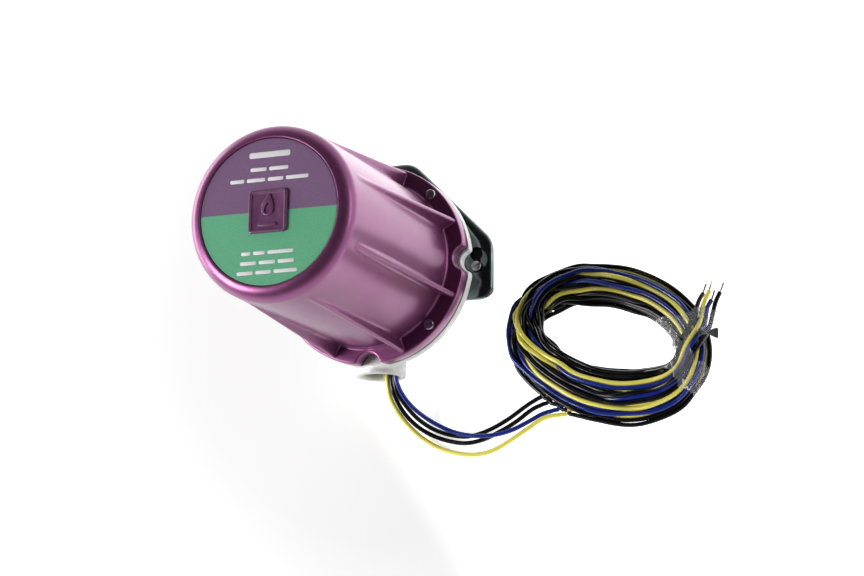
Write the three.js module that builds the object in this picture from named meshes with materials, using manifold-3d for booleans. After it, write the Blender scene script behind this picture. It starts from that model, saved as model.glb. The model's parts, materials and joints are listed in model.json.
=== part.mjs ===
// Ultraviolet flame detector with its screw-on mounting flange and four flying leads.
//
// Millimetres, +Z up. The detector stands on the rear mouth of its mounting collar:
// the origin is the centre of that mouth, +Z is the sight axis and points at the
// cover's round end, and the conduit boss faces -Y.

import * as THREE from "three";
import { mergeVertices } from "three/addons/utils/BufferGeometryUtils.js";
import Module from "manifold-3d";

const wasm = await Module();
wasm.setup();

// ---------------------------------------------------------------- driving sizes

const GAP = 0.3;                       // clearance left between touching pieces
const ROUND = 52;                      // facets round a large turned piece
const SMALL_ROUND = 16;                // facets round a small turned piece
const QUARTER = Math.PI / 2;

// the cover
const COVER_FOOT = 49.0;               // underside of the cover's flange
const COVER_RIM = 57.5;                // top of the cover's flange
const COVER_TOP = 194.5;               // round end of the cover
const COVER_RADIUS = 50.4;
const COVER_WALL = 3.2;
const COVER_CORNER = 8.2;              // fillet round the end of the cover
const RIM_RADIUS = 60.8;               // the cover's flange
const LABEL_RADIUS = 41.7;
const LABEL_SEAT = 1.5;                // depth of the label's recess
const LABEL_THICKNESS = 0.5;
const EMBLEM_WIDTH = 23.5;
const EMBLEM_HEIGHT = 24.5;
const RIB_COUNT = 8;
const RIB_THICKNESS = 3.0;
const RIB_REACH = 60.2;                // where a rib meets the flange
const RIB_TOP = 180;                   // where a rib fades into the wall
const SCREW_CIRCLE = 56.0;             // captive cover screws
const SCREW_ANGLES = [45, 135, 225, 315];

// the access notches in the flange, over the mounting screws
const NOTCH_CENTRE = 61.2;
const NOTCH_RADIUS = 7.5;
const NOTCH_MOUTH = 10.2;              // half width where it opens on the rim

// the base casting
const BASE_FOOT = 33.0;
const BASE_FLOOR = 37.0;
const BASE_RIM_FOOT = 40.0;
const BASE_RIM = 46.9;
const BASE_RIM_RADIUS = 60.6;
const BASE_RADIUS = 51.0;
const BASE_INSIDE = 46.0;
const SIGHT_BORE = 11.0;               // radius of the bore that the tube looks through

// the conduit boss, whose axis runs along Y
const BOSS = { x: -3, z: 31, radius: 15.4, bore: 10.8, face: -64, inner: -34 };

// keyhole plate and mounting flange, one outline for both
const PLATE_FOOT = 28.0;
const PLATE_TOP = 32.7;
const PLATE_REACH = 68.5;              // from the axis to the end of a lobe
const PLATE_DIAGONAL = 84.6;           // x + y along the slanting edges
const PLATE_LOWER = -20;               // lower edge of the two side lobes
const PLATE_SKIRT = -26;               // lower edge under the base
const MOUNT_CIRCLE = 59.0;
const MOUNT_ANGLES = [0, 90, 180];
const KEYHOLE_TURN = 7.6;              // degrees from the slot's end to the large hole
const KEYHOLE_LARGE = 4.0;
const KEYHOLE_SLOT = 2.2;
const MOUNT_FOOT = 21.0;
const MOUNT_TOP = 26.4;
const FLANGE_INSET = 1.6;              // the flange stands this far inside the plate's outline
const COLLAR_RADIUS = 22.5;
const COLLAR_BORE = 16.0;              // 1 in. pipe thread, shown as its plain bore

// boards and tube
const TUBE_BOARD = 78.3;
const POWER_BOARD = 118.3;
const BOARD_THICKNESS = 1.6;
const BOARD_RADIUS = 38;
const STANDOFF_CIRCLE = 33;
const STANDOFF_ANGLES = [30, 150, 270];

// leads
const LEAD_DIAMETER = 2.8;
const COIL = {
  x: 132, y: -44.5, foot: 0.9, top: 11.5,
  outer: [65.5, 45, -20], inner: [41.5, 20.5, -14],
};

// ---------------------------------------------------------------- finishes

const finish = (color, roughness, metalness, opacity = 1) => ({ color, roughness, metalness, opacity });
const PURPLE_PAINT = finish(0x7c4573, 0.25, 0.0);
const LABEL_PRINT = finish(0x6b4b78, 0.6, 0.0);
const CAST_ALUMINIUM = finish(0xb9b9b4, 0.6, 0.8);
const DARK_CHROME = finish(0x38424a, 0.15, 1.0);
const RUBBER = finish(0x151515, 0.8, 0.0);
const ZINC = finish(0xb4b6bb, 0.3, 1.0);
const BRASS = finish(0xb59b52, 0.35, 1.0);
const GLASS = finish(0xe8f0f4, 0.05, 0.0, 0.4);
const BOARD_GREEN = finish(0x2f6a3e, 0.5, 0.0);
const PHENOLIC = finish(0x2a201b, 0.55, 0.0);
const STEEL = finish(0x7d8084, 0.4, 1.0);
const COPPER = finish(0xb4693b, 0.35, 1.0);
const BLUE_FILM = finish(0x2c4f8c, 0.4, 0.0);
const RED_COAT = finish(0x9c5a30, 0.4, 0.0);
const CLEAR_FILM = finish(0xf2f2f2, 0.15, 0.0, 0.35);
const YELLOW_PVC = finish(0xe2d95c, 0.35, 0.0);
const BLUE_PVC = finish(0x23378f, 0.35, 0.0);
const BLACK_PVC = finish(0x16161a, 0.35, 0.0);
const SLEEVE = finish(0xc9c2ab, 0.8, 0.0);

const detector = new THREE.Group();

// ---------------------------------------------------------------- solid tools

const radians = (degrees) => THREE.MathUtils.degToRad(degrees);
const onCircle = (radius, degrees) => [
  radius * Math.cos(radians(degrees)),
  radius * Math.sin(radians(degrees)),
];

// a closed geometry with shared vertices and its faces pointing out
function closed(geometry) {
  const bare = geometry.index ? geometry.toNonIndexed() : geometry.clone();
  bare.deleteAttribute("normal");
  bare.deleteAttribute("uv");
  const merged = mergeVertices(bare, 1e-4);
  const index = merged.index.array;
  const kept = [];
  for (let i = 0; i < index.length; i += 3) {
    const [a, b, c] = [index[i], index[i + 1], index[i + 2]];
    if (a !== b && b !== c && c !== a) kept.push(a, b, c);
  }
  merged.setIndex(kept);
  if (signedVolume(merged) < 0) {
    for (let i = 0; i < kept.length; i += 3) {
      [kept[i + 1], kept[i + 2]] = [kept[i + 2], kept[i + 1]];
    }
    merged.setIndex(kept);
  }
  return merged;
}

function signedVolume(geometry) {
  const place = geometry.attributes.position;
  const index = geometry.index.array;
  const corners = [new THREE.Vector3(), new THREE.Vector3(), new THREE.Vector3()];
  let volume = 0;
  for (let i = 0; i < index.length; i += 3) {
    corners.forEach((corner, k) => corner.fromBufferAttribute(place, index[i + k]));
    volume += corners[0].dot(corners[1].clone().cross(corners[2])) / 6;
  }
  return volume;
}

function toSolid(geometry) {
  const shape = closed(geometry);
  return new wasm.Manifold(new wasm.Mesh({
    numProp: 3,
    vertProperties: new Float32Array(shape.attributes.position.array),
    triVerts: new Uint32Array(shape.index.array),
  }));
}

function toGeometry(solid) {
  const mesh = solid.getMesh();
  const geometry = new THREE.BufferGeometry();
  geometry.setAttribute("position", new THREE.BufferAttribute(mesh.vertProperties, 3));
  geometry.setIndex(new THREE.BufferAttribute(mesh.triVerts, 1));
  return geometry;
}

const joined = (geometries) => toGeometry(geometries.map(toSolid).reduce((all, one) => all.add(one)));

function cut(geometry, tools) {
  return toGeometry(tools.map(toSolid).reduce((body, tool) => body.subtract(tool), toSolid(geometry)));
}

const common = (first, second) => toGeometry(toSolid(first).intersect(toSolid(second)));

function add(name, geometry, look) {
  const shape = geometry.index ? geometry.clone() : closed(geometry);
  shape.computeVertexNormals();
  const material = new THREE.MeshStandardMaterial({
    color: look.color,
    roughness: look.roughness,
    metalness: look.metalness,
    opacity: look.opacity,
    transparent: look.opacity < 1,
  });
  const mesh = new THREE.Mesh(shape, material);
  mesh.name = name;
  detector.add(mesh);
}

// ---------------------------------------------------------------- basic forms

// turned about Z from [radius, height] points, which start and end on the axis or close
function turned(profile, segments = ROUND) {
  const points = profile.map(([radius, height]) => new THREE.Vector2(radius, height));
  const geometry = new THREE.LatheGeometry(points, segments);
  geometry.rotateX(QUARTER);
  return closed(geometry);
}

const rod = (radius, low, high, segments = SMALL_ROUND) =>
  turned([[0, low], [radius, low], [radius, high], [0, high]], segments);

const ring = (inner, outer, low, high, segments = ROUND) =>
  turned([[inner, low], [outer, low], [outer, high], [inner, high], [inner, low]], segments);

function block(width, depth, height, x, y, low) {
  const geometry = new THREE.BoxGeometry(width, depth, height);
  geometry.translate(x, y, low + height / 2);
  return closed(geometry);
}

// points of a quarter of a circle or less, as [radius, height] pairs
function arc(x, y, radius, from, to, steps) {
  const points = [];
  for (let i = 0; i <= steps; i++) {
    const [dx, dy] = onCircle(radius, from + (to - from) * i / steps);
    points.push([x + dx, y + dy]);
  }
  return points;
}

// a polygon with rounded corners; each corner is [x, y, radius]
function roundedOutline(corners, steps = 4) {
  const outline = [];
  corners.forEach(([x, y, radius], i) => {
    const before = corners[(i + corners.length - 1) % corners.length];
    const after = corners[(i + 1) % corners.length];
    const corner = new THREE.Vector2(x, y);
    const toBefore = new THREE.Vector2(before[0], before[1]).sub(corner).normalize();
    const toAfter = new THREE.Vector2(after[0], after[1]).sub(corner).normalize();
    const half = Math.acos(THREE.MathUtils.clamp(toBefore.dot(toAfter), -1, 1)) / 2;
    const reach = radius / Math.tan(half);
    const start = corner.clone().addScaledVector(toBefore, reach);
    const end = corner.clone().addScaledVector(toAfter, reach);
    const bend = new THREE.QuadraticBezierCurve(start, corner, end);
    outline.push(...bend.getPoints(radius > 0 ? steps : 0).slice(0, radius > 0 ? steps + 1 : 1));
  });
  return outline;
}

function slab(outline, low, high, holes = []) {
  const shape = new THREE.Shape(outline);
  shape.holes = holes.map((hole) => new THREE.Path(hole));
  const geometry = new THREE.ExtrudeGeometry(shape, { depth: high - low, bevelEnabled: false });
  geometry.translate(0, 0, low);
  return closed(geometry);
}

// a solid lofted through flat outlines with the same number of points
function lofted(levels) {
  const count = levels[0].outline.length;
  const positions = levels.flatMap(({ outline, z }) => outline.flatMap((p) => [p.x, p.y, z]));
  const index = [];
  for (let level = 0; level + 1 < levels.length; level++) {
    for (let i = 0; i < count; i++) {
      const a = level * count + i;
      const b = level * count + (i + 1) % count;
      index.push(a, b, b + count, a, b + count, a + count);
    }
  }
  const last = (levels.length - 1) * count;
  for (const [a, b, c] of THREE.ShapeUtils.triangulateShape(levels[0].outline, [])) index.push(a, c, b);
  for (const [a, b, c] of THREE.ShapeUtils.triangulateShape(levels[levels.length - 1].outline, [])) {
    index.push(last + a, last + b, last + c);
  }
  const geometry = new THREE.BufferGeometry();
  geometry.setAttribute("position", new THREE.Float32BufferAttribute(positions, 3));
  geometry.setIndex(index);
  return closed(geometry);
}

function moved(geometry, x, y, z = 0) {
  const copy = geometry.clone();
  copy.translate(x, y, z);
  return copy;
}

function turnedBy(geometry, degrees) {
  const copy = geometry.clone();
  copy.rotateZ(radians(degrees));
  return copy;
}

const around = (geometry, radius, degrees) => moved(geometry, ...onCircle(radius, degrees));

// a round tube along a smooth curve through the points
function tubeAlong(points, diameter, sides, steps) {
  const path = new THREE.CatmullRomCurve3(points.map((p) => new THREE.Vector3(...p)));
  const section = new THREE.Shape();
  for (let i = 0; i < sides; i++) {
    const [x, y] = onCircle(diameter / 2, 360 * i / sides);
    if (i === 0) section.moveTo(x, y);
    else section.lineTo(x, y);
  }
  section.closePath();
  return closed(new THREE.ExtrudeGeometry(section, { steps, extrudePath: path, bevelEnabled: false }));
}

// a slotted screw: head on top of its shank, slot across the head
function slottedScrew(headRadius, headHeight, shankRadius, seat, tip) {
  const crown = seat + headHeight;
  const body = turned([
    [0, tip], [shankRadius, tip], [shankRadius, seat], [headRadius, seat],
    [headRadius, crown - 0.6], [headRadius - 0.7, crown], [0, crown],
  ], SMALL_ROUND);
  return cut(body, [block(2 * headRadius + 2, 0.9, 1, 0, 0, crown - 0.9)]);
}

// ---------------------------------------------------------------- cover

function notchTool(low, high, clearance = 0) {
  const radius = NOTCH_RADIUS + clearance;
  const mouth = NOTCH_MOUTH + clearance;
  const beyond = RIM_RADIUS + 12;
  const outline = [
    new THREE.Vector2(beyond, mouth + 8),
    new THREE.Vector2(RIM_RADIUS + 0.6, mouth),
    new THREE.Vector2(RIM_RADIUS - 1.4, mouth - 1.8),
  ];
  for (let angle = 110; angle <= 250; angle += 20) {
    const [dx, dy] = onCircle(radius, angle);
    outline.push(new THREE.Vector2(NOTCH_CENTRE + dx, dy));
  }
  outline.push(new THREE.Vector2(RIM_RADIUS - 1.4, 1.8 - mouth));
  outline.push(new THREE.Vector2(RIM_RADIUS + 0.6, -mouth));
  outline.push(new THREE.Vector2(beyond, -mouth - 8));
  return slab(outline, low, high);
}

const screwHoles = (radius, low, high) =>
  SCREW_ANGLES.map((angle) => around(rod(radius, low, high, 12), SCREW_CIRCLE, angle));

function coverRib(angle) {
  const inside = COVER_RADIUS - 2;
  const side = new THREE.Shape([
    new THREE.Vector2(inside, COVER_RIM - 1),
    new THREE.Vector2(RIB_REACH, COVER_RIM - 1),
    new THREE.Vector2(RIB_REACH, COVER_RIM + 0.6),
    new THREE.Vector2(COVER_RADIUS - 0.2, RIB_TOP),
    new THREE.Vector2(inside, RIB_TOP),
  ]);
  const rib = new THREE.ExtrudeGeometry(side, {
    depth: RIB_THICKNESS - 1, bevelEnabled: true, bevelThickness: 0.5, bevelSize: 0.4, bevelSegments: 2,
  });
  rib.translate(0, 0, -(RIB_THICKNESS - 1) / 2);
  rib.rotateX(QUARTER);
  return turnedBy(closed(rib), angle);
}

function coverShell() {
  const seat = COVER_TOP - LABEL_SEAT;
  const corner = COVER_RADIUS - COVER_CORNER;
  const outside = turned([
    [0, COVER_FOOT],
    [RIM_RADIUS, COVER_FOOT],
    ...arc(RIM_RADIUS - 1.2, COVER_RIM - 1.2, 1.2, 0, 90, 2),
    ...arc(COVER_RADIUS + 2.2, COVER_RIM + 2.2, 2.2, 270, 180, 2),
    ...arc(corner, COVER_TOP - COVER_CORNER, COVER_CORNER, 0, 90, 6),
    [LABEL_RADIUS + 0.35, COVER_TOP],
    [LABEL_RADIUS + 0.35, seat],
    [0, seat],
  ]);
  const inside = COVER_RADIUS - COVER_WALL;
  const roof = COVER_TOP - LABEL_SEAT - COVER_WALL;
  const hollow = turned([
    [0, COVER_FOOT - 1],
    [inside, COVER_FOOT - 1],
    ...arc(inside - 6, roof - 6, 6, 0, 90, 3),
    [0, roof],
  ]);
  const ribs = [];
  for (let i = 0; i < RIB_COUNT; i++) ribs.push(coverRib(360 * (i + 0.5) / RIB_COUNT));
  const notches = [0, 90, 180, 270].map((angle) =>
    turnedBy(notchTool(COVER_FOOT - 1, COVER_RIM + 1), angle));
  return cut(joined([outside, ...ribs]), [
    hollow, ...notches, ...screwHoles(2.3, COVER_FOOT - 1, COVER_RIM + 1),
  ]);
}

function emblemOutline(clearance) {
  const x = EMBLEM_WIDTH / 2 + clearance;
  const y = EMBLEM_HEIGHT / 2 + clearance;
  return roundedOutline([[-x, -y, 2], [x, -y, 2], [x, y, 2], [-x, y, 2]], 3);
}

function addCover() {
  const seat = COVER_TOP - LABEL_SEAT + GAP;
  add("cover_shell", coverShell(), PURPLE_PAINT);
  const label = cut(rod(LABEL_RADIUS, seat, seat + LABEL_THICKNESS, ROUND), [
    slab(emblemOutline(GAP), seat - 1, seat + 2),
  ]);
  add("label_disc", label, LABEL_PRINT);
  const emblem = lofted([
    { outline: emblemOutline(0), z: seat },
    { outline: emblemOutline(0), z: seat + 1.6 },
    { outline: emblemOutline(-0.6), z: seat + 2.1 },
  ]);
  add("emblem_plate", emblem, PURPLE_PAINT);
  SCREW_ANGLES.forEach((angle, i) => {
    const screw = turnedBy(slottedScrew(3.0, 2.3, 2.0, COVER_RIM + GAP, 41.5), 35 * i + 60);
    add(`cover_screw_${i + 1}`, around(screw, SCREW_CIRCLE, angle), ZINC);
  });
}

// ---------------------------------------------------------------- base and gasket

function addGasket() {
  const sheet = ring(BASE_INSIDE + 0.4, RIM_RADIUS - 0.4, BASE_RIM + GAP, COVER_FOOT - GAP);
  const notches = [0, 90, 180, 270].map((angle) => turnedBy(notchTool(46, 50, 0.4), angle));
  add("cover_gasket", cut(sheet, [...notches, ...screwHoles(2.5, 46, 50)]), RUBBER);
}

function alongY(radius, from, to, segments = 32) {
  const cylinder = rod(radius, from, to, segments);
  cylinder.rotateX(-QUARTER);
  return moved(cylinder, BOSS.x, 0, BOSS.z);
}

function baseCasting() {
  const bowl = turned([
    [0, BASE_FOOT],
    [BASE_RADIUS, BASE_FOOT],
    [BASE_RADIUS, BASE_RIM_FOOT - 1.5],
    [BASE_RADIUS + 1.5, BASE_RIM_FOOT],
    ...arc(BASE_RIM_RADIUS - 1.2, BASE_RIM_FOOT + 1.2, 1.2, 270, 360, 2),
    [BASE_RIM_RADIUS, BASE_RIM],
    [0, BASE_RIM],
  ]);
  const boss = alongY(BOSS.radius, BOSS.face, BOSS.inner, 32);
  const inside = rod(BASE_INSIDE, BASE_FLOOR, BASE_RIM + 3, ROUND);
  const seat = turned([
    [SIGHT_BORE - 1, BASE_FLOOR - 1], [20, BASE_FLOOR - 1], [18.5, 43.2], [SIGHT_BORE - 1, 43.2],
    [SIGHT_BORE - 1, BASE_FLOOR - 1],
  ], 32);
  const shell = joined([cut(joined([bowl, boss]), [inside]), seat]);
  const notches = [0, 90, 180].map((angle) => turnedBy(notchTool(BASE_FOOT - 1, 48, -1.2), angle));
  return cut(shell, [
    alongY(BOSS.bore, BOSS.face - 1, BOSS.inner - 3.5),
    rod(SIGHT_BORE, BASE_FOOT - 1, 45, 32),
    rod(14.6, 36, 45, 32),
    ...notches,
    ...screwHoles(2.3, BASE_RIM_FOOT - 3, BASE_RIM + 1),
    ...plateScrewPlaces().map(([x, y]) => moved(rod(2.1, BASE_FOOT - 1, BASE_FLOOR + 1, 16), x, y)),
    ...STANDOFF_ANGLES.map((angle) =>
      around(rod(1.9, BASE_FOOT + 1, BASE_FLOOR + 1, 16), STANDOFF_CIRCLE, angle)),
    moved(rod(2.2, BASE_FOOT + 0.8, BASE_FLOOR + 1, 16), ...GROUND_SCREW),
  ]);
}

const GROUND_SCREW = [27, -26];
const plateScrewPlaces = () => [[34, 12], [-34, 12], [34, -16], [-34, -16]];

function addBase() {
  add("base_casting", baseCasting(), CAST_ALUMINIUM);
  add("ground_screw", moved(slottedScrew(3.6, 2.4, 1.9, BASE_FLOOR + GAP, 34.2), ...GROUND_SCREW), BRASS);
  const grommet = alongY(BOSS.bore - GAP, -50, -47.5);
  const threaded = [[-5, -3], [-1, -3], [-5, 1], [-1, 1]].map(([x, z]) => {
    const hole = rod(1.6, -55, -40, 12);
    hole.rotateX(-QUARTER);
    return moved(hole, x, 0, BOSS.z + z);
  });
  add("lead_grommet", cut(grommet, threaded), RUBBER);
}

// ---------------------------------------------------------------- sight window

function addWindow() {
  const seat = 36;
  add("window_o_ring", turned([
    ...arc(12.9, seat + GAP + 0.9, 0.9, -90, 270, 8),
  ], 32), RUBBER);
  add("quartz_window", rod(14.2, seat + 2.4, seat + 5.4, 32), GLASS);
  add("window_retainer", ring(11.4, 14.3, seat + 5.7, seat + 7.2, 32), BRASS);
}

// ---------------------------------------------------------------- keyhole plate

function plateOutline(inset = 0) {
  const reach = PLATE_REACH - inset;
  const across = PLATE_DIAGONAL - inset * Math.SQRT2;
  const side = across - reach;
  const lower = PLATE_LOWER + inset;
  const skirt = PLATE_SKIRT + inset;
  return roundedOutline([
    [38, skirt, 4], [44, lower, 4], [reach, lower, 9], [reach, side, 13],
    [side, reach, 13], [-side, reach, 13], [-reach, side, 13], [-reach, lower, 9],
    [-44, lower, 4], [-38, skirt, 4],
  ]);
}

function keyholeSlot(low, high) {
  const outline = [];
  for (let i = 0; i <= 4; i++) {
    const [x, y] = onCircle(MOUNT_CIRCLE + KEYHOLE_SLOT, KEYHOLE_TURN * i / 4);
    outline.push(new THREE.Vector2(x, y));
  }
  for (let i = 4; i >= 0; i--) {
    const [x, y] = onCircle(MOUNT_CIRCLE - KEYHOLE_SLOT, KEYHOLE_TURN * i / 4);
    outline.push(new THREE.Vector2(x, y));
  }
  return joined([
    slab(outline, low, high),
    around(rod(KEYHOLE_SLOT, low, high), MOUNT_CIRCLE, 0),
    around(rod(KEYHOLE_LARGE, low, high), MOUNT_CIRCLE, KEYHOLE_TURN),
  ]);
}

function keyholePlate() {
  const body = lofted([
    { outline: plateOutline(0), z: PLATE_FOOT },
    { outline: plateOutline(0), z: PLATE_FOOT + 2 },
    { outline: plateOutline(2), z: PLATE_TOP - 1.1 },
    { outline: plateOutline(6), z: PLATE_TOP },
  ]);
  const wells = MOUNT_ANGLES.map((angle) =>
    around(rod(7.6, PLATE_TOP - 1.7, PLATE_TOP + 1, 24), MOUNT_CIRCLE - 0.6, angle + KEYHOLE_TURN / 2));
  const slots = MOUNT_ANGLES.map((angle) => turnedBy(keyholeSlot(PLATE_FOOT - 1, PLATE_TOP + 1), angle));
  const screws = plateScrewPlaces().flatMap(([x, y]) => [
    moved(rod(2.1, PLATE_FOOT - 1, PLATE_TOP + 1, 16), x, y),
    moved(rod(4.0, PLATE_FOOT - 1, PLATE_FOOT + 2.6), x, y),
  ]);
  return cut(body, [...wells, ...slots, ...screws, rod(SIGHT_BORE + 1, PLATE_FOOT - 1, PLATE_TOP + 1, 32)]);
}

function addKeyholePlate() {
  add("keyhole_plate", keyholePlate(), DARK_CHROME);
  plateScrewPlaces().forEach(([x, y], i) => {
    const screw = slottedScrew(3.6, 2.1, 1.8, -PLATE_FOOT - 2.3, -PLATE_FOOT - 8.4);
    screw.rotateX(Math.PI);
    add(`plate_screw_${i + 1}`, moved(screw, x, y), ZINC);
  });
}

// ---------------------------------------------------------------- mounting flange

function mountingFlange() {
  const body = lofted([
    { outline: plateOutline(FLANGE_INSET + 1.2), z: MOUNT_FOOT },
    { outline: plateOutline(FLANGE_INSET), z: MOUNT_FOOT + 1.4 },
    { outline: plateOutline(FLANGE_INSET), z: MOUNT_TOP - 1.0 },
    { outline: plateOutline(FLANGE_INSET + 0.8), z: MOUNT_TOP },
  ]);
  const collar = turned([
    [0, 0], [COLLAR_RADIUS - 1, 0], [COLLAR_RADIUS, 1], [COLLAR_RADIUS, MOUNT_FOOT - 3],
    [COLLAR_RADIUS + 3, MOUNT_FOOT + 1], [0, MOUNT_FOOT + 1],
  ]);
  return cut(joined([body, collar]), [
    rod(COLLAR_BORE, -1, MOUNT_FOOT, 32),
    rod(SIGHT_BORE + 2, MOUNT_FOOT - 2, MOUNT_TOP + 1, 32),
    ...MOUNT_ANGLES.map((angle) => around(rod(2.1, 15, MOUNT_TOP + 1, 16), MOUNT_CIRCLE, angle)),
  ]);
}

function addMount() {
  add("mounting_flange", mountingFlange(), DARK_CHROME);
  const sheet = cut(slab(plateOutline(3.5), MOUNT_TOP + GAP, PLATE_FOOT - GAP), [
    rod(SIGHT_BORE + 4, 25, 30, 32),
    ...MOUNT_ANGLES.map((angle) => around(rod(2.3, 25, 30, 16), MOUNT_CIRCLE, angle)),
  ]);
  add("flange_gasket", sheet, RUBBER);
  MOUNT_ANGLES.forEach((angle, i) => {
    const screw = turnedBy(slottedScrew(3.0, 2.6, 1.7, PLATE_TOP - 1.7 + GAP, MOUNT_FOOT + 0.8), 25 + 50 * i);
    add(`mounting_screw_${i + 1}`, around(screw, MOUNT_CIRCLE, angle), ZINC);
  });
}

// ---------------------------------------------------------------- tube and boards

function addTube() {
  const mouth = TUBE_BOARD - GAP;
  add("uv_tube_envelope", turned([
    ...arc(0, 56, 9, -90, 0, 4), [9, mouth], [8, mouth], ...arc(0, 56, 8, 0, -90, 4),
  ], 20), GLASS);
  const cathode = joined([rod(4.0, 60, 60.7), moved(rod(0.5, 60.2, mouth, 8), -2.4, 0)]);
  add("tube_cathode", cathode, STEEL);
  const anode = joined([ring(4.8, 6.4, 57, 57.7, SMALL_ROUND), moved(rod(0.5, 57.2, mouth, 8), 5.6, 0)]);
  add("tube_anode", anode, STEEL);
}

function boardBlank(low, holes) {
  return cut(rod(BOARD_RADIUS, low, low + BOARD_THICKNESS, 32), [
    ...STANDOFF_ANGLES.map((angle) => around(rod(1.9, low - 1, low + 3, 12), STANDOFF_CIRCLE, angle)),
    ...holes,
  ]);
}

function addBoards() {
  add("tube_board", boardBlank(TUBE_BOARD, []), BOARD_GREEN);
  add("power_board", boardBlank(POWER_BOARD, []), BOARD_GREEN);
  STANDOFF_ANGLES.forEach((angle, i) => {
    const lower = joined([
      rod(3, BASE_FLOOR + GAP, TUBE_BOARD - GAP, 6), rod(1.6, BASE_FLOOR - 2, BASE_FLOOR + 1, 12),
      rod(1.5, TUBE_BOARD - 1, TUBE_BOARD + 1.2, 12),
    ]);
    const foot = TUBE_BOARD + BOARD_THICKNESS + GAP;
    const upper = joined([rod(3, foot, POWER_BOARD - GAP, 6), rod(1.5, POWER_BOARD - 1, POWER_BOARD + 1, 12)]);
    const crown = POWER_BOARD + BOARD_THICKNESS + GAP;
    add(`lower_standoff_${i + 1}`, around(lower, STANDOFF_CIRCLE, angle), BRASS);
    add(`upper_standoff_${i + 1}`, around(upper, STANDOFF_CIRCLE, angle), BRASS);
    add(`board_nut_${i + 1}`, around(rod(3.2, crown, crown + 2.4, 6), STANDOFF_CIRCLE, angle), ZINC);
  });
}

function addPowerSupply() {
  const deck = POWER_BOARD + BOARD_THICKNESS + GAP;
  const core = cut(block(34, 16, 28, 0, 10, deck), [
    block(6, 20, 16, -8, 10, deck + 6), block(6, 20, 16, 8, 10, deck + 6),
  ]);
  add("transformer_core", core, STEEL);
  const inner = cut(block(21.4, 27, 15.4, 0, 10, deck + 6.3), [
    block(10.6, 16.6, 30, 0, 10, deck),
  ]);
  add("transformer_winding", inner, RED_COAT);
  const can = (radius, height) => turned([
    [0, deck], [radius, deck], [radius, deck + height - 1], [radius - 1, deck + height], [0, deck + height],
  ], 20);
  add("capacitor_1", moved(can(6, 22), -22, -14), BLUE_FILM);
  add("capacitor_2", moved(can(5, 18), -8, -20), BLUE_FILM);
  add("capacitor_3", moved(can(5, 18), 3, -14), BLUE_FILM);
  const terminals = cut(block(22, 9, 11, 20.5, -22, deck), [0, 1, 2, 3].map((i) =>
    moved(rod(1.9, deck + 6, deck + 12, 12), 12.3 + 5.4 * i, -22)));
  add("terminal_block", terminals, PHENOLIC);
}

function addInnerSleeve() {
  const points = [
    [-3, -46.8, 31], [-3, -44, 31.6], [-2, -41, 36], [3, -40, 44], [9, -41.4, 54], [12, -41, 68],
    [14, -40.4, 90], [15, -40, 108], [16, -38.5, 120], [18, -34, 125.5], [20, -27.2, 126],
  ];
  add("inner_lead_sleeve", tubeAlong(points, 4.6, 8, 26), SLEEVE);
}

// ---------------------------------------------------------------- leads

// each lead's way from inside the conduit boss, down to the floor and along it to the coil
const LEAD_ROUTES = {
  lead_yellow: [
    [-2.4, -50.4, 23.2], [-2.4, -57, 23.0], [-2.4, -64, 22.9], [-1.2, -74, 20.6], [1.8, -82.6, 15.4],
    [7, -91, 8.6], [14, -98, 3.4], [24, -104, 1.5], [37, -108, 1.5], [48.7, -108.8, 1.5],
    [58, -107, 1.5], [67, -102.8, 1.5], [77.6, -96.6, 1.5], [88, -90.6, 1.5], [94.5, -87, 1.5],
  ],
  lead_black_1: [
    [0.6, -50.4, 23.7], [0.6, -57, 23.5], [0.6, -64, 23.4], [1.8, -73, 21.2], [5.5, -83, 15],
    [11.5, -90.7, 8], [19.5, -96, 3], [30, -99.8, 1.5], [41, -101.6, 1.5], [52, -100, 1.5],
    [61, -96.4, 1.5], [71, -91.5, 1.5], [81, -84.9, 1.5], [86.5, -80.5, 1.5],
  ],
  lead_black_2: [
    [3.2, -50.4, 25.5], [3.2, -57, 25.3], [3.2, -64, 25.2], [4.8, -72.5, 22.8], [8.6, -80.6, 16.4],
    [13.4, -87, 10.2], [20.5, -92.3, 4.4], [30.5, -96, 1.7], [41.5, -97.6, 1.6], [52, -95.6, 1.5],
    [62, -91.6, 1.5], [72, -86, 1.5], [81, -80, 1.5],
  ],
  lead_blue: [
    [5.2, -50.4, 28.3], [5.2, -57, 28.1], [5.4, -64, 28.0], [8.4, -73.5, 24.4], [13.6, -81.6, 18],
    [20.8, -88, 11], [29.5, -93, 5.8], [39, -96.4, 4.9], [50, -98.2, 5.0], [61, -98, 5.0],
    [71.5, -95.6, 4.2], [81.5, -90.6, 2.2], [89, -86.4, 1.5], [95.5, -82.6, 1.5],
  ],
};
const LEAD_TAILS = {
  tail_yellow: [[185, -52, 14.2], [189, -42, 13.6], [192.6, -33, 9.5], [196, -22, 1.9], [197.4, -17.5, 1.6]],
  tail_black_1: [[181, -50.5, 14.4], [184.5, -42, 14.4], [188, -33, 13.4], [190.6, -24, 5], [192, -15, 1.6]],
  tail_black_2: [[189, -54, 14.2], [193, -44.5, 13.6], [197.2, -36, 9.8], [200.6, -25, 2], [202.2, -19.5, 1.6]],
  tail_blue: [[193, -56, 14.2], [197, -47, 13.2], [201.4, -39.5, 8.6], [205, -31, 1.9], [206.6, -26.5, 1.6]],
};
const leadLook = (name) =>
  name.endsWith("yellow") ? YELLOW_PVC : name.endsWith("blue") ? BLUE_PVC : BLACK_PVC;

function ellipse(semi, grow, steps) {
  const [a, b, tilt] = semi;
  const outline = [];
  for (let i = 0; i < steps; i++) {
    const angle = 2 * Math.PI * i / steps;
    const point = new THREE.Vector2((a + grow) * Math.cos(angle), (b + grow) * Math.sin(angle));
    point.rotateAround(new THREE.Vector2(0, 0), radians(tilt));
    outline.push(point.add(new THREE.Vector2(COIL.x, COIL.y)));
  }
  return outline;
}

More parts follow.
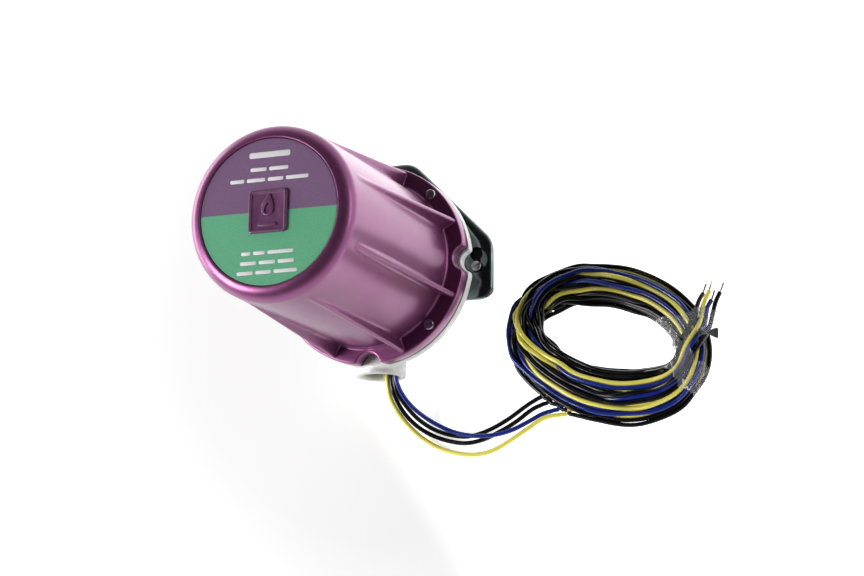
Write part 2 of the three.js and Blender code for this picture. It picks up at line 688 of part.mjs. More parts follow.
// the coil's outer form, grown by an even amount all round
function coilForm(grow) {
  const body = (inset, z) => ({ outline: ellipse(COIL.outer, grow - inset, 32), z });
  const well = (inset, z) => ({ outline: ellipse(COIL.inner, -grow + inset, 40), z });
  const [low, high] = [COIL.foot - grow, COIL.top + grow];
  return cut(lofted([body(3, low), body(0, low + 3), body(0, high - 3), body(3, high)]), [
    lofted([well(0, low - 1), well(0, high + 1)]),
  ]);
}

function addBand(name, angle, width, inner, outer, look) {
  const slice = moved(turnedBy(block(width, 60, 30, 0, 55, -5), angle - 90), COIL.x, COIL.y);
  add(name, common(cut(coilForm(outer), [coilForm(inner)]), slice), look);
}

function addLeads() {
  for (const [name, route] of Object.entries(LEAD_ROUTES)) {
    add(name, tubeAlong(route, LEAD_DIAMETER, 8, 22), leadLook(name));
  }
  add("lead_coil", coilForm(0), BLACK_PVC);
  for (const [name, route] of Object.entries(LEAD_TAILS)) {
    add(name, tubeAlong(route, LEAD_DIAMETER, 8, 6), leadLook(name));
    const [end, before] = [new THREE.Vector3(...route.at(-1)), new THREE.Vector3(...route.at(-2))];
    const along = end.clone().sub(before).setZ(0).normalize();
    const strands = [
      end.clone().addScaledVector(along, 0.5).toArray(), end.clone().addScaledVector(along, 7).toArray(),
    ];
    add(name.replace("tail", "stripped_end"), tubeAlong(strands, 1.3, 8, 2), COPPER);
  }
}

// ---------------------------------------------------------------- assembly

addCover();
addGasket();
addBase();
addWindow();
addKeyholePlate();
addMount();
addTube();
addBoards();
addPowerSupply();
addInnerSleeve();
addLeads();
addBand("clear_tape_1", -18, 11, 0.25, 0.65, CLEAR_FILM);
addBand("clear_tape_2", 14, 11, 0.25, 0.65, CLEAR_FILM);

export default detector;
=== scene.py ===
"""Ultraviolet flame detector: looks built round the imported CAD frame. Metres, row frame, +Z up."""
import json
import math

import bmesh
import bpy
import numpy as np
from mathutils import Matrix, Vector


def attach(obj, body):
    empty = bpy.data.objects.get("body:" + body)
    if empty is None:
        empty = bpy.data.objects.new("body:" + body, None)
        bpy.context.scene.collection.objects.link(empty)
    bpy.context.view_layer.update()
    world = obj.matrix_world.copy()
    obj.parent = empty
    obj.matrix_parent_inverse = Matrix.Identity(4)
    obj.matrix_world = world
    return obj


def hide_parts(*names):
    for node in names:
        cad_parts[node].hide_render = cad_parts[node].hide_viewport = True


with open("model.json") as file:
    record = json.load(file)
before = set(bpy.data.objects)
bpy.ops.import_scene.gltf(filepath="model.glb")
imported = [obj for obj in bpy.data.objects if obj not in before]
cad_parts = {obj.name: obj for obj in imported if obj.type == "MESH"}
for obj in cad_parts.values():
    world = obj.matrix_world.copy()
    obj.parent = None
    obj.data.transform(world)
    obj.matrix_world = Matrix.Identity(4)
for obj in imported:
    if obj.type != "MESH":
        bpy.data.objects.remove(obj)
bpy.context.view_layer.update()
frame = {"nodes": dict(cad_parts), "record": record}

MM = 0.001


# ------------------------------------------------------------------ mesh tools

def solid(name, points, faces, sharp=32.0):
    """A mesh object from points in millimetres, with its faces turned outwards."""
    mesh = bpy.data.meshes.new(name)
    mesh.from_pydata([[c * MM for c in p] for p in points], [], [list(f) for f in faces])
    tidy(mesh, sharp)
    return bpy.data.objects.new(name, mesh)


def piece(name, points, faces, body, slot, replaces=(), sharp=32.0, look=None):
    """A finished piece that rides on a body."""
    return place(solid(name, points, faces, sharp), body, slot, replaces, look)


def scratch(points, faces):
    """A mesh object to cut, join or refine, not yet a piece."""
    obj = solid("scratch", points, faces)
    bpy.context.scene.collection.objects.link(obj)
    return obj


def tidy(mesh, sharp):
    """Joins double points, turns the faces outwards, and shades smooth up to an angle in degrees."""
    form = bmesh.new()
    form.from_mesh(mesh)
    bmesh.ops.remove_doubles(form, verts=form.verts, dist=2e-7)
    bmesh.ops.dissolve_degenerate(form, edges=form.edges, dist=1e-7)
    bmesh.ops.recalc_face_normals(form, faces=form.faces)
    form.to_mesh(mesh)
    form.free()
    shade(mesh, sharp)


def shade(mesh, sharp):
    mesh.polygons.foreach_set("use_smooth", [True] * len(mesh.polygons))
    mesh.set_sharp_from_angle(angle=math.radians(sharp))
    mesh.update()


def place(obj, body, slot, replaces=(), look=None):
    """Gives the object its finish and its body; its look is the slot's own unless one is given."""
    if obj.name not in bpy.context.scene.collection.objects:
        bpy.context.scene.collection.objects.link(obj)
    obj.data.materials.clear()
    obj.data.materials.append(look or LOOKS[slot])
    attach(obj, body)
    if replaces:
        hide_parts(*replaces)
    return obj


def named(obj, name, body, slot, replaces=(), look=None):
    """Makes a scratch object a finished piece."""
    obj.name = obj.data.name = name
    return place(obj, body, slot, replaces, look)


def baked(obj):
    """The object's mesh with its modifiers applied."""
    graph = bpy.context.evaluated_depsgraph_get()
    mesh = bpy.data.meshes.new_from_object(obj.evaluated_get(graph), depsgraph=graph)
    obj.modifiers.clear()
    obj.data = mesh
    return obj


def combine(obj, others, operation):
    """Joins, cuts or keeps the common part with the others, which are used up."""
    for other in others:
        step = obj.modifiers.new("step", "BOOLEAN")
        step.object = other
        step.operation = operation
        step.solver = "EXACT"
        baked(obj)
        bpy.data.objects.remove(other)
    return obj


def grid_faces(rows, columns, closed=True):
    """Four-sided faces over rows of points, each row a ring if closed."""
    faces = []
    for r in range(rows - 1):
        for c in range(columns if closed else columns - 1):
            d = (c + 1) % columns
            faces.append((r * columns + c, r * columns + d, (r + 1) * columns + d, (r + 1) * columns + c))
    return faces


def skin(rows):
    """Points and faces of a closed grid given as rings of one count."""
    return [p for row in rows for p in row], grid_faces(len(rows), len(rows[0]))


def lathe(profile, segments=96):
    """Points and faces turned about Z from [radius, height] pairs, from the axis to the axis or closed."""
    rows, points = len(profile), []
    for radius, height in profile:
        for i in range(segments):
            a = 2 * math.pi * i / segments
            points.append((max(radius, 1e-5) * math.cos(a), max(radius, 1e-5) * math.sin(a), height))
    faces = grid_faces(rows, segments)
    if profile[0] != profile[-1]:
        faces.append(tuple(range(segments)))
        faces.append(tuple(range((rows - 1) * segments, rows * segments)))
    return points, faces


def arc(x, y, radius, start, stop, steps):
    return [(x + radius * math.cos(math.radians(start + (stop - start) * i / steps)),
             y + radius * math.sin(math.radians(start + (stop - start) * i / steps))) for i in range(steps + 1)]


def polar(angle, radius):
    return radius * math.cos(math.radians(angle)), radius * math.sin(math.radians(angle))


def shifted(points, x=0.0, y=0.0, z=0.0, turn=0.0):
    c, s = math.cos(math.radians(turn)), math.sin(math.radians(turn))
    return [(p[0] * c - p[1] * s + x, p[0] * s + p[1] * c + y, p[2] + z) for p in points]


def along_y(points, x, z):
    """Turns points made about Z to lie about an axis along Y."""
    return [(p[0] + x, p[2], z - p[1]) for p in points]


def loft(levels):
    """Points and faces through flat outlines of one count; levels are (outline, z)."""
    count = len(levels[0][0])
    points = [(x, y, z) for outline, z in levels for x, y in outline]
    faces = grid_faces(len(levels), count)
    faces.append(tuple(range(count)))
    faces.append(tuple(range((len(levels) - 1) * count, len(levels) * count)))
    return points, faces


def rounded(corners, steps=8):
    """A polygon with rounded corners; each corner is (x, y, radius)."""
    outline = []
    for i, (x, y, radius) in enumerate(corners):
        before = Vector(corners[i - 1][:2]) - Vector((x, y))
        after = Vector(corners[(i + 1) % len(corners)][:2]) - Vector((x, y))
        half = before.angle(after) / 2
        reach = radius / math.tan(half)
        a = Vector((x, y)) + before.normalized() * reach
        b = Vector((x, y)) + after.normalized() * reach
        inward = (before.normalized() + after.normalized()).normalized()
        centre = Vector((x, y)) + inward * radius / math.sin(half)
        start = math.atan2(a.y - centre.y, a.x - centre.x)
        turn = math.atan2(b.y - centre.y, b.x - centre.x) - start
        turn = (turn + math.pi) % (2 * math.pi) - math.pi
        for k in range(steps + 1):
            angle = start + turn * k / steps
            outline.append((centre.x + radius * math.cos(angle), centre.y + radius * math.sin(angle)))
    return outline


# ------------------------------------------------------------------ materials

def srgb(r, g, b):
    """The linear colour of an sRGB one out of 255."""
    return tuple(((c / 255 + 0.055) / 1.055) ** 2.4 if c > 10 else c / 255 / 12.92 for c in (r, g, b)) + (1.0,)


def stops(*given):
    """Ramp stops from (position, red, green, blue), the colours in sRGB out of 255."""
    return [(at, srgb(*colour)) for at, *colour in given]


class Look:
    """A principled material with helpers for the procedural detail on it."""

    def __init__(self, name, colour, roughness, metallic=0.0, **more):
        self.material = bpy.data.materials.new(name)
        self.material.use_nodes = True
        self.nodes = self.material.node_tree.nodes
        self.links = self.material.node_tree.links
        self.shader = self.nodes["Principled BSDF"]
        self.set("Base Color", colour)
        self.set("Roughness", roughness)
        self.set("Metallic", metallic)
        for key, value in more.items():
            self.set(key.replace("_", " "), value)
        self.place = self.nodes.new("ShaderNodeTexCoord").outputs["Object"]
        self.normal = None

    def set(self, socket, value):
        self.shader.inputs[socket].default_value = value

    def noise(self, scale, detail=3.0, rough=0.55, stretch=None):
        node = self.nodes.new("ShaderNodeTexNoise")
        node.inputs["Scale"].default_value = scale
        node.inputs["Detail"].default_value = detail
        node.inputs["Roughness"].default_value = rough
        source = self.place
        if stretch:
            mapping = self.nodes.new("ShaderNodeMapping")
            mapping.inputs["Scale"].default_value = stretch
            self.links.new(self.place, mapping.inputs["Vector"])
            source = mapping.outputs["Vector"]
        self.links.new(source, node.inputs["Vector"])
        return node.outputs["Fac"]

    def voronoi(self, scale, feature="F1"):
        node = self.nodes.new("ShaderNodeTexVoronoi")
        node.feature = feature
        node.inputs["Scale"].default_value = scale
        self.links.new(self.place, node.inputs["Vector"])
        return node.outputs["Distance"]

    def ramp(self, source, stops):
        node = self.nodes.new("ShaderNodeValToRGB")
        while len(node.color_ramp.elements) < len(stops):
            node.color_ramp.elements.new(0.5)
        for element, (at, colour) in zip(node.color_ramp.elements, stops):
            element.position = at
            element.color = colour
        self.links.new(source, node.inputs["Fac"])
        return node.outputs["Color"]

    def range(self, source, low, high, start=0.3, stop=0.7):
        node = self.nodes.new("ShaderNodeMapRange")
        for key, value in (("From Min", start), ("From Max", stop), ("To Min", low), ("To Max", high)):
            node.inputs[key].default_value = value
        self.links.new(source, node.inputs["Value"])
        return node.outputs["Result"]

    def mix(self, factor, a, b):
        node = self.nodes.new("ShaderNodeMix")
        node.data_type = "RGBA"
        for socket, value in ((node.inputs[0], factor), (node.inputs[6], a), (node.inputs[7], b)):
            if isinstance(value, (tuple, float, int)):
                socket.default_value = value
            else:
                self.links.new(value, socket)
        return node.outputs[2]

    def math(self, operation, a, b=0.0):
        node = self.nodes.new("ShaderNodeMath")
        node.operation = operation
        for socket, value in zip(node.inputs, (a, b)):
            if isinstance(value, (float, int)):
                socket.default_value = value
            else:
                self.links.new(value, socket)
        return node.outputs[0]

    def axis(self, which):
        node = self.nodes.new("ShaderNodeSeparateXYZ")
        self.links.new(self.place, node.inputs[0])
        return node.outputs[which]

    def drive(self, socket, source):
        self.links.new(source, self.shader.inputs[socket])

    def tint(self, source, *given):
        self.drive("Base Color", self.ramp(source, stops(*given)))

    def satin(self, scale, low, high, detail=3.0):
        self.drive("Roughness", self.range(self.noise(scale, detail), low, high))

    def bump(self, source, strength, depth):
        node = self.nodes.new("ShaderNodeBump")
        node.inputs["Strength"].default_value = strength
        node.inputs["Distance"].default_value = depth
        self.links.new(source, node.inputs["Height"])
        if self.normal is not None:
            self.links.new(self.normal, node.inputs["Normal"])
        self.normal = node.outputs["Normal"]
        self.links.new(self.normal, self.shader.inputs["Normal"])


def enamel():
    look = Look("purple_enamel", srgb(130, 70, 114), 0.33, 0.7, Coat_Weight=0.28, Coat_Roughness=0.2, Coat_IOR=1.45)
    look.tint(look.noise(60.0), (0.3, 126, 68, 110), (0.7, 134, 73, 118))
    look.satin(240.0, 0.32, 0.36)
    look.bump(look.noise(1400.0, 2.0), 0.08, 0.00005)
    return look.material


def label_print():
    look = Look("label_print", srgb(95, 70, 110), 0.55)
    purple = look.ramp(look.noise(2600.0, 2.0), stops((0.35, 108, 76, 114), (0.65, 126, 92, 131)))
    green = look.ramp(look.noise(2600.0, 2.0), stops((0.35, 82, 164, 120), (0.65, 100, 182, 140)))
    half = look.math("GREATER_THAN", look.axis(1), 0.0)
    look.drive("Base Color", look.mix(half, green, purple))
    look.satin(700.0, 0.48, 0.62)
    look.bump(look.noise(3200.0, 2.0), 0.35, 0.00005)
    return look.material


def emblem_paint():
    look = Look("emblem_paint", srgb(96, 48, 96), 0.35, Coat_Weight=0.25, Coat_Roughness=0.2)
    look.tint(look.noise(300.0), (0.3, 96, 52, 90), (0.7, 112, 62, 104))
    look.bump(look.noise(1500.0, 3.0), 0.25, 0.0001)
    return look.material


def print_white():
    look = Look("label_lines", srgb(205, 200, 206), 0.5)
    look.tint(look.noise(1800.0), (0.35, 214, 211, 215), (0.65, 232, 230, 233))
    return look.material


def zinc():
    look = Look("screw_zinc", srgb(176, 178, 182), 0.3, 1.0)
    streak = look.noise(900.0, 4.0, 0.6, (1.0, 0.15, 1.0))
    look.tint(streak, (0.3, 150, 152, 158), (0.7, 205, 205, 206))
    look.satin(500.0, 0.22, 0.42)
    look.bump(streak, 0.25, 0.0001)
    return look.material


def rubber():
    look = Look("black_rubber", srgb(24, 24, 25), 0.75)
    look.tint(look.noise(400.0), (0.3, 18, 18, 19), (0.7, 34, 33, 33))
    look.bump(look.noise(1200.0, 4.0), 0.4, 0.0002)
    return look.material


def cast_aluminium():
    look = Look("cast_aluminium", srgb(205, 205, 203), 0.5, 0.3)
    patch = look.noise(70.0, 5.0, 0.65)
    look.tint(patch, (0.3, 192, 190, 187), (0.5, 216, 216, 214), (0.72, 234, 234, 232))
    look.satin(220.0, 0.42, 0.68, 4.0)
    look.bump(look.noise(650.0, 5.0, 0.7), 0.55, 0.0004)
    look.bump(look.voronoi(420.0), 0.3, 0.0003)
    return look.material


def dark_chrome():
    look = Look("dark_chrome", srgb(118, 128, 132), 0.12, 1.0, Coat_Weight=0.2, Coat_Roughness=0.05)
    cloud = look.noise(38.0, 4.0, 0.6)
    look.tint(cloud, (0.3, 84, 94, 98), (0.55, 120, 130, 132), (0.75, 150, 156, 152))
    look.satin(120.0, 0.08, 0.24, 4.0)
    look.bump(look.noise(260.0, 3.0), 0.12, 0.0003)
    return look.material


def plain(name, low, high, roughness, metallic=0.0, grain=500.0, bump=0.2, depth=0.0001, **more):
    look = Look(name, low, roughness, metallic, **more)
    look.drive("Base Color", look.ramp(look.noise(grain), [(0.3, low), (0.7, high)]))
    look.drive("Roughness", look.range(look.noise(grain * 1.7), max(roughness - 0.07, 0.03), roughness + 0.07))
    if bump:
        look.bump(look.noise(grain * 2.3, 3.0), bump, depth)
    return look.material


def pvc(name, dark, light, gloss=0.5):
    look = Look(name, dark, 0.22, Specular_IOR_Level=gloss)
    look.drive("Base Color", look.ramp(look.noise(120.0, 3.0), [(0.3, dark), (0.7, light)]))
    look.satin(400.0, 0.16, 0.26)
    look.bump(look.noise(900.0, 2.0), 0.12, 0.0001)
    return look.material


def winding_tape():
    look = Look("winding_tape", srgb(170, 120, 60), 0.4)
    rings = look.noise(700.0, 2.0, 0.5, (0.05, 0.05, 1.0))
    look.tint(rings, (0.35, 140, 92, 40), (0.65, 190, 142, 74))
    look.bump(rings, 0.4, 0.0003)
    return look.material


def circuit_board():
    look = Look("circuit_board", srgb(30, 80, 45), 0.4, Coat_Weight=0.3, Coat_Roughness=0.2)
    track = look.voronoi(150.0, "DISTANCE_TO_EDGE")
    look.tint(track, (0.04, 62, 112, 62), (0.1, 26, 74, 42), (0.6, 30, 84, 48))
    look.bump(look.noise(800.0), 0.2, 0.0001)
    return look.material


def braid():
    look = Look("braided_sleeve", srgb(196, 186, 160), 0.85)
    weave = look.voronoi(1300.0)
    look.tint(weave, (0.1, 206, 196, 170), (0.6, 150, 140, 116))
    look.bump(weave, 0.8, 0.0004)
    return look.material


def clear_film():
    look = Look("clear_film", srgb(240, 240, 238), 0.06, Specular_IOR_Level=1.0, Alpha=0.3)
    turn = look.nodes.new("ShaderNodeMapping")
    turn.inputs["Rotation"].default_value = (0.0, 0.0, math.radians(-52))
    turn.inputs["Scale"].default_value = (1.0, 0.3, 0.8)
    look.links.new(look.place, turn.inputs["Vector"])
    look.place = turn.outputs["Vector"]
    folds = look.noise(160.0, 2.0, 0.5)
    crease = look.math("ABSOLUTE", look.math("SUBTRACT", folds, 0.5))
    patchy = look.range(look.noise(230.0, 2.0), 0.0, 1.0, 0.47, 0.6)
    # painted highlights: along the creases the film turns nearly opaque, so its pale colour shows there as white
    # glints
    streak = look.math("MULTIPLY", look.range(crease, 0.85, 0.0, 0.0, 0.02), patchy)
    look.drive("Alpha", look.math("ADD", streak, 0.06))
    look.bump(folds, 1.0, 0.002)
    return look.material


def clear_glass():
    look = Look("clear_glass", srgb(232, 240, 243), 0.04, Specular_IOR_Level=0.6, Alpha=0.32)
    look.satin(200.0, 0.03, 0.12)
    look.bump(look.noise(150.0), 0.05, 0.0002)
    return look.material


# the pale floor is lit from within, like a light table: evenly, except that it slants round the part. That slant is
# painted shade and light: dimmer on the side away from GLOW_WAY, which paints a darker floor and darker reflections
# in the cover's wall there, and brighter on its own side, which fills in the part's cast shadow and brightens the
# wall's reflections there
FLOOR_GLOW = 0.75
GLOW_WAY = (0.85, 0.53)      # the side to which it is brighter
GLOW_SPAN = 0.07             # metres from the axis to the dimmest and the brightest place
PAINTED_LIGHT_SLANT = (-0.62, 0.95)   # painted shade and light: what is added to the glow there
GLOW_REACH = (0.16, 0.5)     # metres from the axis at which the slant starts to fade and is gone


def floor_paper():
    look = Look("floor_paper", (0.86, 0.86, 0.86, 1.0), 0.7, Specular_IOR_Level=0.2)
    paper = [(0.3, (0.85, 0.85, 0.852, 1)), (0.7, (0.87, 0.87, 0.868, 1))]
    look.drive("Base Color", look.ramp(look.noise(6.0, 3.0), paper))
    look.set("Emission Color", (1.0, 1.0, 1.0, 1.0))
    x, y = look.axis(0), look.axis(1)
    aside = look.math("ADD", look.math("MULTIPLY", x, GLOW_WAY[0]), look.math("MULTIPLY", y, GLOW_WAY[1]))
    away = look.math("SQRT", look.math("ADD", look.math("MULTIPLY", x, x), look.math("MULTIPLY", y, y)))
    # painted shade and light: the glow dims on one side of the part and brightens on the other, fading out away from
    # it
    slant = look.range(aside, *PAINTED_LIGHT_SLANT, -GLOW_SPAN, GLOW_SPAN)
    slant = look.math("MULTIPLY", slant, look.range(away, 1.0, 0.0, *GLOW_REACH))
    look.drive("Emission Strength", look.math("ADD", slant, FLOOR_GLOW))
    look.bump(look.noise(1500.0, 2.0), 0.03, 0.0001)
    return look.material


LOOKS = {
    "purple_enamel": enamel(), "label_print": label_print(), "screw_zinc": zinc(), "black_rubber": rubber(),
    "cast_aluminium": cast_aluminium(), "dark_chrome": dark_chrome(),
    "brass": plain("brass", srgb(168, 138, 70), srgb(200, 172, 100), 0.32, 1.0),
    "clear_glass": clear_glass(),
    "steel": plain("steel", srgb(110, 112, 116), srgb(150, 152, 155), 0.38, 1.0, 300.0),
    "circuit_board": circuit_board(), "winding_tape": winding_tape(),
    "capacitor_sleeve": plain("capacitor_sleeve", srgb(30, 62, 120), srgb(42, 78, 142), 0.32),
    "phenolic": plain("phenolic", srgb(40, 30, 25), srgb(58, 44, 36), 0.5, 0.0, 900.0),
    "braided_sleeve": braid(),
    "yellow_pvc": pvc("yellow_pvc", srgb(232, 221, 92), srgb(243, 234, 116)),
    "blue_pvc": pvc("blue_pvc", srgb(15, 34, 116), srgb(22, 46, 138)),
    "black_pvc": pvc("black_pvc", srgb(9, 9, 10), srgb(16, 16, 17), 0.35),
    "tinned_copper": plain("tinned_copper", srgb(178, 170, 160), srgb(220, 216, 210), 0.3, 1.0, 1500.0),
    "clear_film": clear_film(),
}
EMBLEM_LOOK = emblem_paint()
LINE_LOOK = print_white()
TAB_LOOK = plain("tie_tab_film", srgb(52, 52, 54), srgb(92, 92, 94), 0.16, 0.0, 260.0, 0.4, 0.0004)

# every CAD node starts with its slot's finish; the pieces below replace most of those that show
for sub in frame["record"]["subparts"]:
    node = frame["nodes"][sub["node"]]
    node.data.materials.clear()
    node.data.materials.append(LOOKS[sub["material_slot"]])


# ------------------------------------------------------------------ camera, floor and light

LENS = 104.17                # focal length on a 36 mm wide picture, and the camera's place in metres
CAMERA_PLACE = (0.6000, -0.3412, 1.3863)


def set_camera():
    """The photograph's own view: right, up and back are the camera's axes."""
    right = Vector((0.92275, 0.01249, -0.3852))
    up = Vector((0.07318, 0.97561, 0.20693))
    back = Vector((0.3784, -0.21914, 0.89933))
    data = bpy.data.cameras.new("camera")
    data.sensor_width = 36.0
    data.lens = LENS
    data.clip_end = 20.0
    camera = bpy.data.objects.new("camera", data)
    turn = Matrix((right, up, back)).transposed().to_4x4()
    camera.matrix_world = Matrix.Translation(CAMERA_PLACE) @ turn
    bpy.context.scene.collection.objects.link(camera)
    bpy.context.scene.camera = camera


def set_floor():
    """A wide sheet just under the part."""
    mesh = bpy.data.meshes.new("floor")
    side, count = 8.0, 9
    points = [(side * (i / (count - 1) - 0.5), side * (j / (count - 1) - 0.5), -0.0002)
              for j in range(count) for i in range(count)]
    mesh.from_pydata(points, [], grid_faces(count, count, closed=False))
    mesh.materials.append(floor_paper())
    floor = bpy.data.objects.new("floor", mesh)
    bpy.context.scene.collection.objects.link(floor)


def softbox(name, azimuth, elevation, distance, width, height, watts):
    """A rectangular light turned to the middle of the part, from degrees round it and above the floor."""
    a, e = math.radians(azimuth), math.radians(elevation)
    target = Vector((0.06, -0.03, 0.06))
    stand = target + distance * Vector((math.cos(e) * math.cos(a), math.cos(e) * math.sin(a), math.sin(e)))
    data = bpy.data.lights.new(name, "AREA")
    data.shape = "RECTANGLE"
    data.size, data.size_y = width, height
    data.energy = watts
    light = bpy.data.objects.new(name, data)
    turn = (target - stand).to_track_quat("-Z", "Y").to_matrix().to_4x4()
    light.matrix_world = Matrix.Translation(stand) @ turn
    bpy.context.scene.collection.objects.link(light)


# brightness of the studio by the sine of the height above the horizon
SKY = [(0.0, 1.4), (0.14, 1.0), (0.42, 0.22), (0.8, 0.03)]


def set_light():
    """A studio that is brightest at the horizon, with three softboxes round the part."""
    world = bpy.data.worlds.new("studio")
    world.use_nodes = True
    tree = world.node_tree
    direction = tree.nodes.new("ShaderNodeTexCoord").outputs["Generated"]
    height = tree.nodes.new("ShaderNodeSeparateXYZ")
    tree.links.new(direction, height.inputs[0])
    ramp = tree.nodes.new("ShaderNodeValToRGB")
    while len(ramp.color_ramp.elements) < len(SKY):
        ramp.color_ramp.elements.new(0.5)
    for element, (at, grey) in zip(ramp.color_ramp.elements, SKY):
        element.position = at
        element.color = (grey, grey, grey, 1.0)
    tree.links.new(height.outputs[2], ramp.inputs["Fac"])
    tree.links.new(ramp.outputs["Color"], tree.nodes["Background"].inputs["Color"])
    tree.nodes["Background"].inputs["Strength"].default_value = 1.0
    bpy.context.scene.world = world
    softbox("key", 196, 42, 2.4, 0.9, 0.9, 50.0)
    softbox("right", 12, 12, 1.6, 1.0, 0.3, 3.5)
    softbox("left", 165, 9, 1.6, 1.6, 0.6, 14.0)
    bpy.context.scene.view_settings.view_transform = "Standard"
    bpy.context.scene.view_settings.exposure = 0.0


set_camera()
set_floor()
set_light()

# ------------------------------------------------------------------ leads

LEAD_RADIUS = 1.4
STEP = 2.5                   # spacing of the points along a lead
STRANDS = ("yellow", "black_1", "black_2", "blue")
# each lead's way from the grommet in the conduit boss, down to the floor and along it to the coil
ROUTES = {
    "yellow": [
        (-2.4, -50.4, 23.2), (-2.4, -57, 23.0), (-2.4, -64, 22.9), (-1.2, -74, 20.6), (1.8, -82.6, 15.4),
        (7, -91, 8.6), (14, -98, 3.4), (24, -104, 1.5), (37, -108, 1.5), (48.7, -108.8, 1.5),
        (58, -107, 1.5), (67, -102.8, 1.5), (77.6, -96.6, 1.5), (88, -90.6, 1.5), (94.5, -87, 1.5)],
    "black_1": [
        (0.6, -50.4, 23.7), (0.6, -57, 23.5), (0.6, -64, 23.4), (1.8, -73, 21.2), (5.5, -83, 15),
        (11.5, -90.7, 8), (19.5, -96, 3), (30, -99.8, 1.5), (41, -101.6, 1.5), (52, -100, 1.5),
        (61, -96.4, 1.5), (71, -91.5, 1.5), (81, -84.9, 1.5), (86.5, -80.5, 1.5)],
    "black_2": [
        (3.2, -50.4, 25.5), (3.2, -57, 25.3), (3.2, -64, 25.2), (4.8, -72.5, 22.8), (8.6, -80.6, 16.4),
        (13.4, -87, 10.2), (20.5, -92.3, 4.4), (30.5, -96, 1.7), (41.5, -97.6, 1.6), (52, -95.6, 1.5),
        (62, -91.6, 1.5), (72, -86, 1.5), (81, -80, 1.5)],
    "blue": [
        (5.2, -50.4, 28.3), (5.2, -57, 28.1), (5.4, -64, 28.0), (8.4, -73.5, 24.4), (13.6, -81.6, 18),
        (20.8, -88, 11), (29.5, -93, 5.8), (39, -96.4, 4.9), (50, -98.2, 5.0), (61, -98, 5.0),
        (71.5, -95.6, 4.2), (81.5, -90.6, 2.2), (89, -86.4, 1.5), (95.5, -82.6, 1.5)],
}
# each lead's way from the coil to its free end
TAILS = {
    "yellow": [(180.7, -54.5, 14.6), (186.9, -45.5, 14.6), (189.9, -35.2, 12.5), (193, -23.6, 5), (194.2, -18.9, 2)],
    "black_1": [(177.5, -52, 14.6), (183.6, -42.3, 14.6), (186.7, -33.1, 12), (188.9, -24.6, 5), (190.4, -20.2, 2)],
    "black_2": [(185.6, -58.9, 13.8), (191.5, -49, 12.8), (194.8, -37.8, 9), (198, -26.6, 3), (200.8, -20, 1.8)],
    "blue": [(182.6, -56.9, 13.8), (188.6, -48.3, 13.2), (191.4, -39, 10), (193.4, -29.5, 4), (195.5, -24.5, 2)],
}
# the coil's outer and inner edge: centre x and y, half lengths, tilt in degrees
OUTER = (131.4, -45.9, 65.7, 44.6, -20.2)
INNER = (133.4, -42.5, 42.1, 20.0, -13.5)
BUNDLE = 24.0                # width of the bundle of leads, from the outer edge to the inner
# each turn: strands from the outside in, distance in from the outer edge to the first, pitch, layer
TURNS = [
    (("blue", "black_1", "yellow", "black_2"), 9.5, 2.8, 0),
    (("black_2", "yellow", "blue", "black_1"), 2.0, 2.8, 0),
    (("yellow", "blue", "black_2", "black_1"), 13.5, 2.8, 1),
    (("black_1", "blue", "yellow", "black_2"), 2.6, 2.8, 1),
    (("blue", "yellow", "black_1", "black_2"), 12.4, 2.8, 2),
    (("blue", "yellow", "black_1", "black_2"), 3.2, 2.8, 2),
    (("black_2", "blue", "yellow", "black_1"), 11.8, 2.9, 3),
]
# degrees round the coil between which a strand crosses from one half of the bundle to the other
CROSSING = {"blue": (100, 200), "black_1": (116, 218), "black_2": (130, 232), "yellow": (146, 252)}
# degrees round the coil at which each lead joins it, and at which all leave it for their tails
ENTRY = {"yellow": 292, "blue": 286, "black_1": 278, "black_2": 272}
LEAVING = 2520.0
CROSSING_LIFT = 10.0         # how far a strand climbs while it crosses
ROUNDS = 240                 # steps in which the leads settle
CONTACT = 3.02               # how close two leads' middles come


def on_ellipse(form, theta):
    """Points on one edge of the coil, at angles in radians."""
    x, y, a, b, tilt = form
    c, s = math.cos(math.radians(tilt)), math.sin(math.radians(tilt))
    u, v = a * np.cos(theta), b * np.sin(theta)
    return np.stack([x + c * u - s * v, y + s * u + c * v], -1)


def eased(t):
    t = min(max(t, 0.0), 1.0)
    return t * t * (3 - 2 * t)


def even(line, step):
    """The line again, with its points evenly spaced."""
    gap = np.linalg.norm(np.diff(line, axis=0), axis=1)
    along = np.concatenate([[0], np.cumsum(gap)])
    at = np.linspace(0, along[-1], max(2, int(round(along[-1] / step)) + 1))
    return np.stack([np.interp(at, along, line[:, k]) for k in range(3)], -1)


def through(points, step):
    """An evenly spaced smooth line through the points."""
    p = np.array(points, float)
    p = np.vstack([2 * p[0] - p[1], p, 2 * p[-1] - p[-2]])
    out = []
    for i in range(1, len(p) - 2):
        t = np.linspace(0, 1, 24, endpoint=False)[:, None]
        a, b, c, d = p[i - 1:i + 3]
        out.append(0.5 * (2 * b + (c - a) * t + (2 * a - 5 * b + 4 * c - d) * t ** 2
                          + (3 * b - a - 3 * c + d) * t ** 3))
    return even(np.vstack(out + [p[-2:-1]]), step)


def bridge(a, b, step):
    """A smooth way from the end of line a to the start of line b."""
    p, q = a[-1], b[0]
    reach = np.linalg.norm(q - p)
    u = (a[-1] - a[-3]) / np.linalg.norm(a[-1] - a[-3]) * reach
    v = (b[2] - b[0]) / np.linalg.norm(b[2] - b[0]) * reach
    t = np.linspace(0, 1, max(4, int(reach / step) + 2))[1:-1, None]
    return ((2 * t ** 3 - 3 * t ** 2 + 1) * p + (t ** 3 - 2 * t ** 2 + t) * u
            + (3 * t ** 2 - 2 * t ** 3) * q + (t ** 3 - t ** 2) * v)


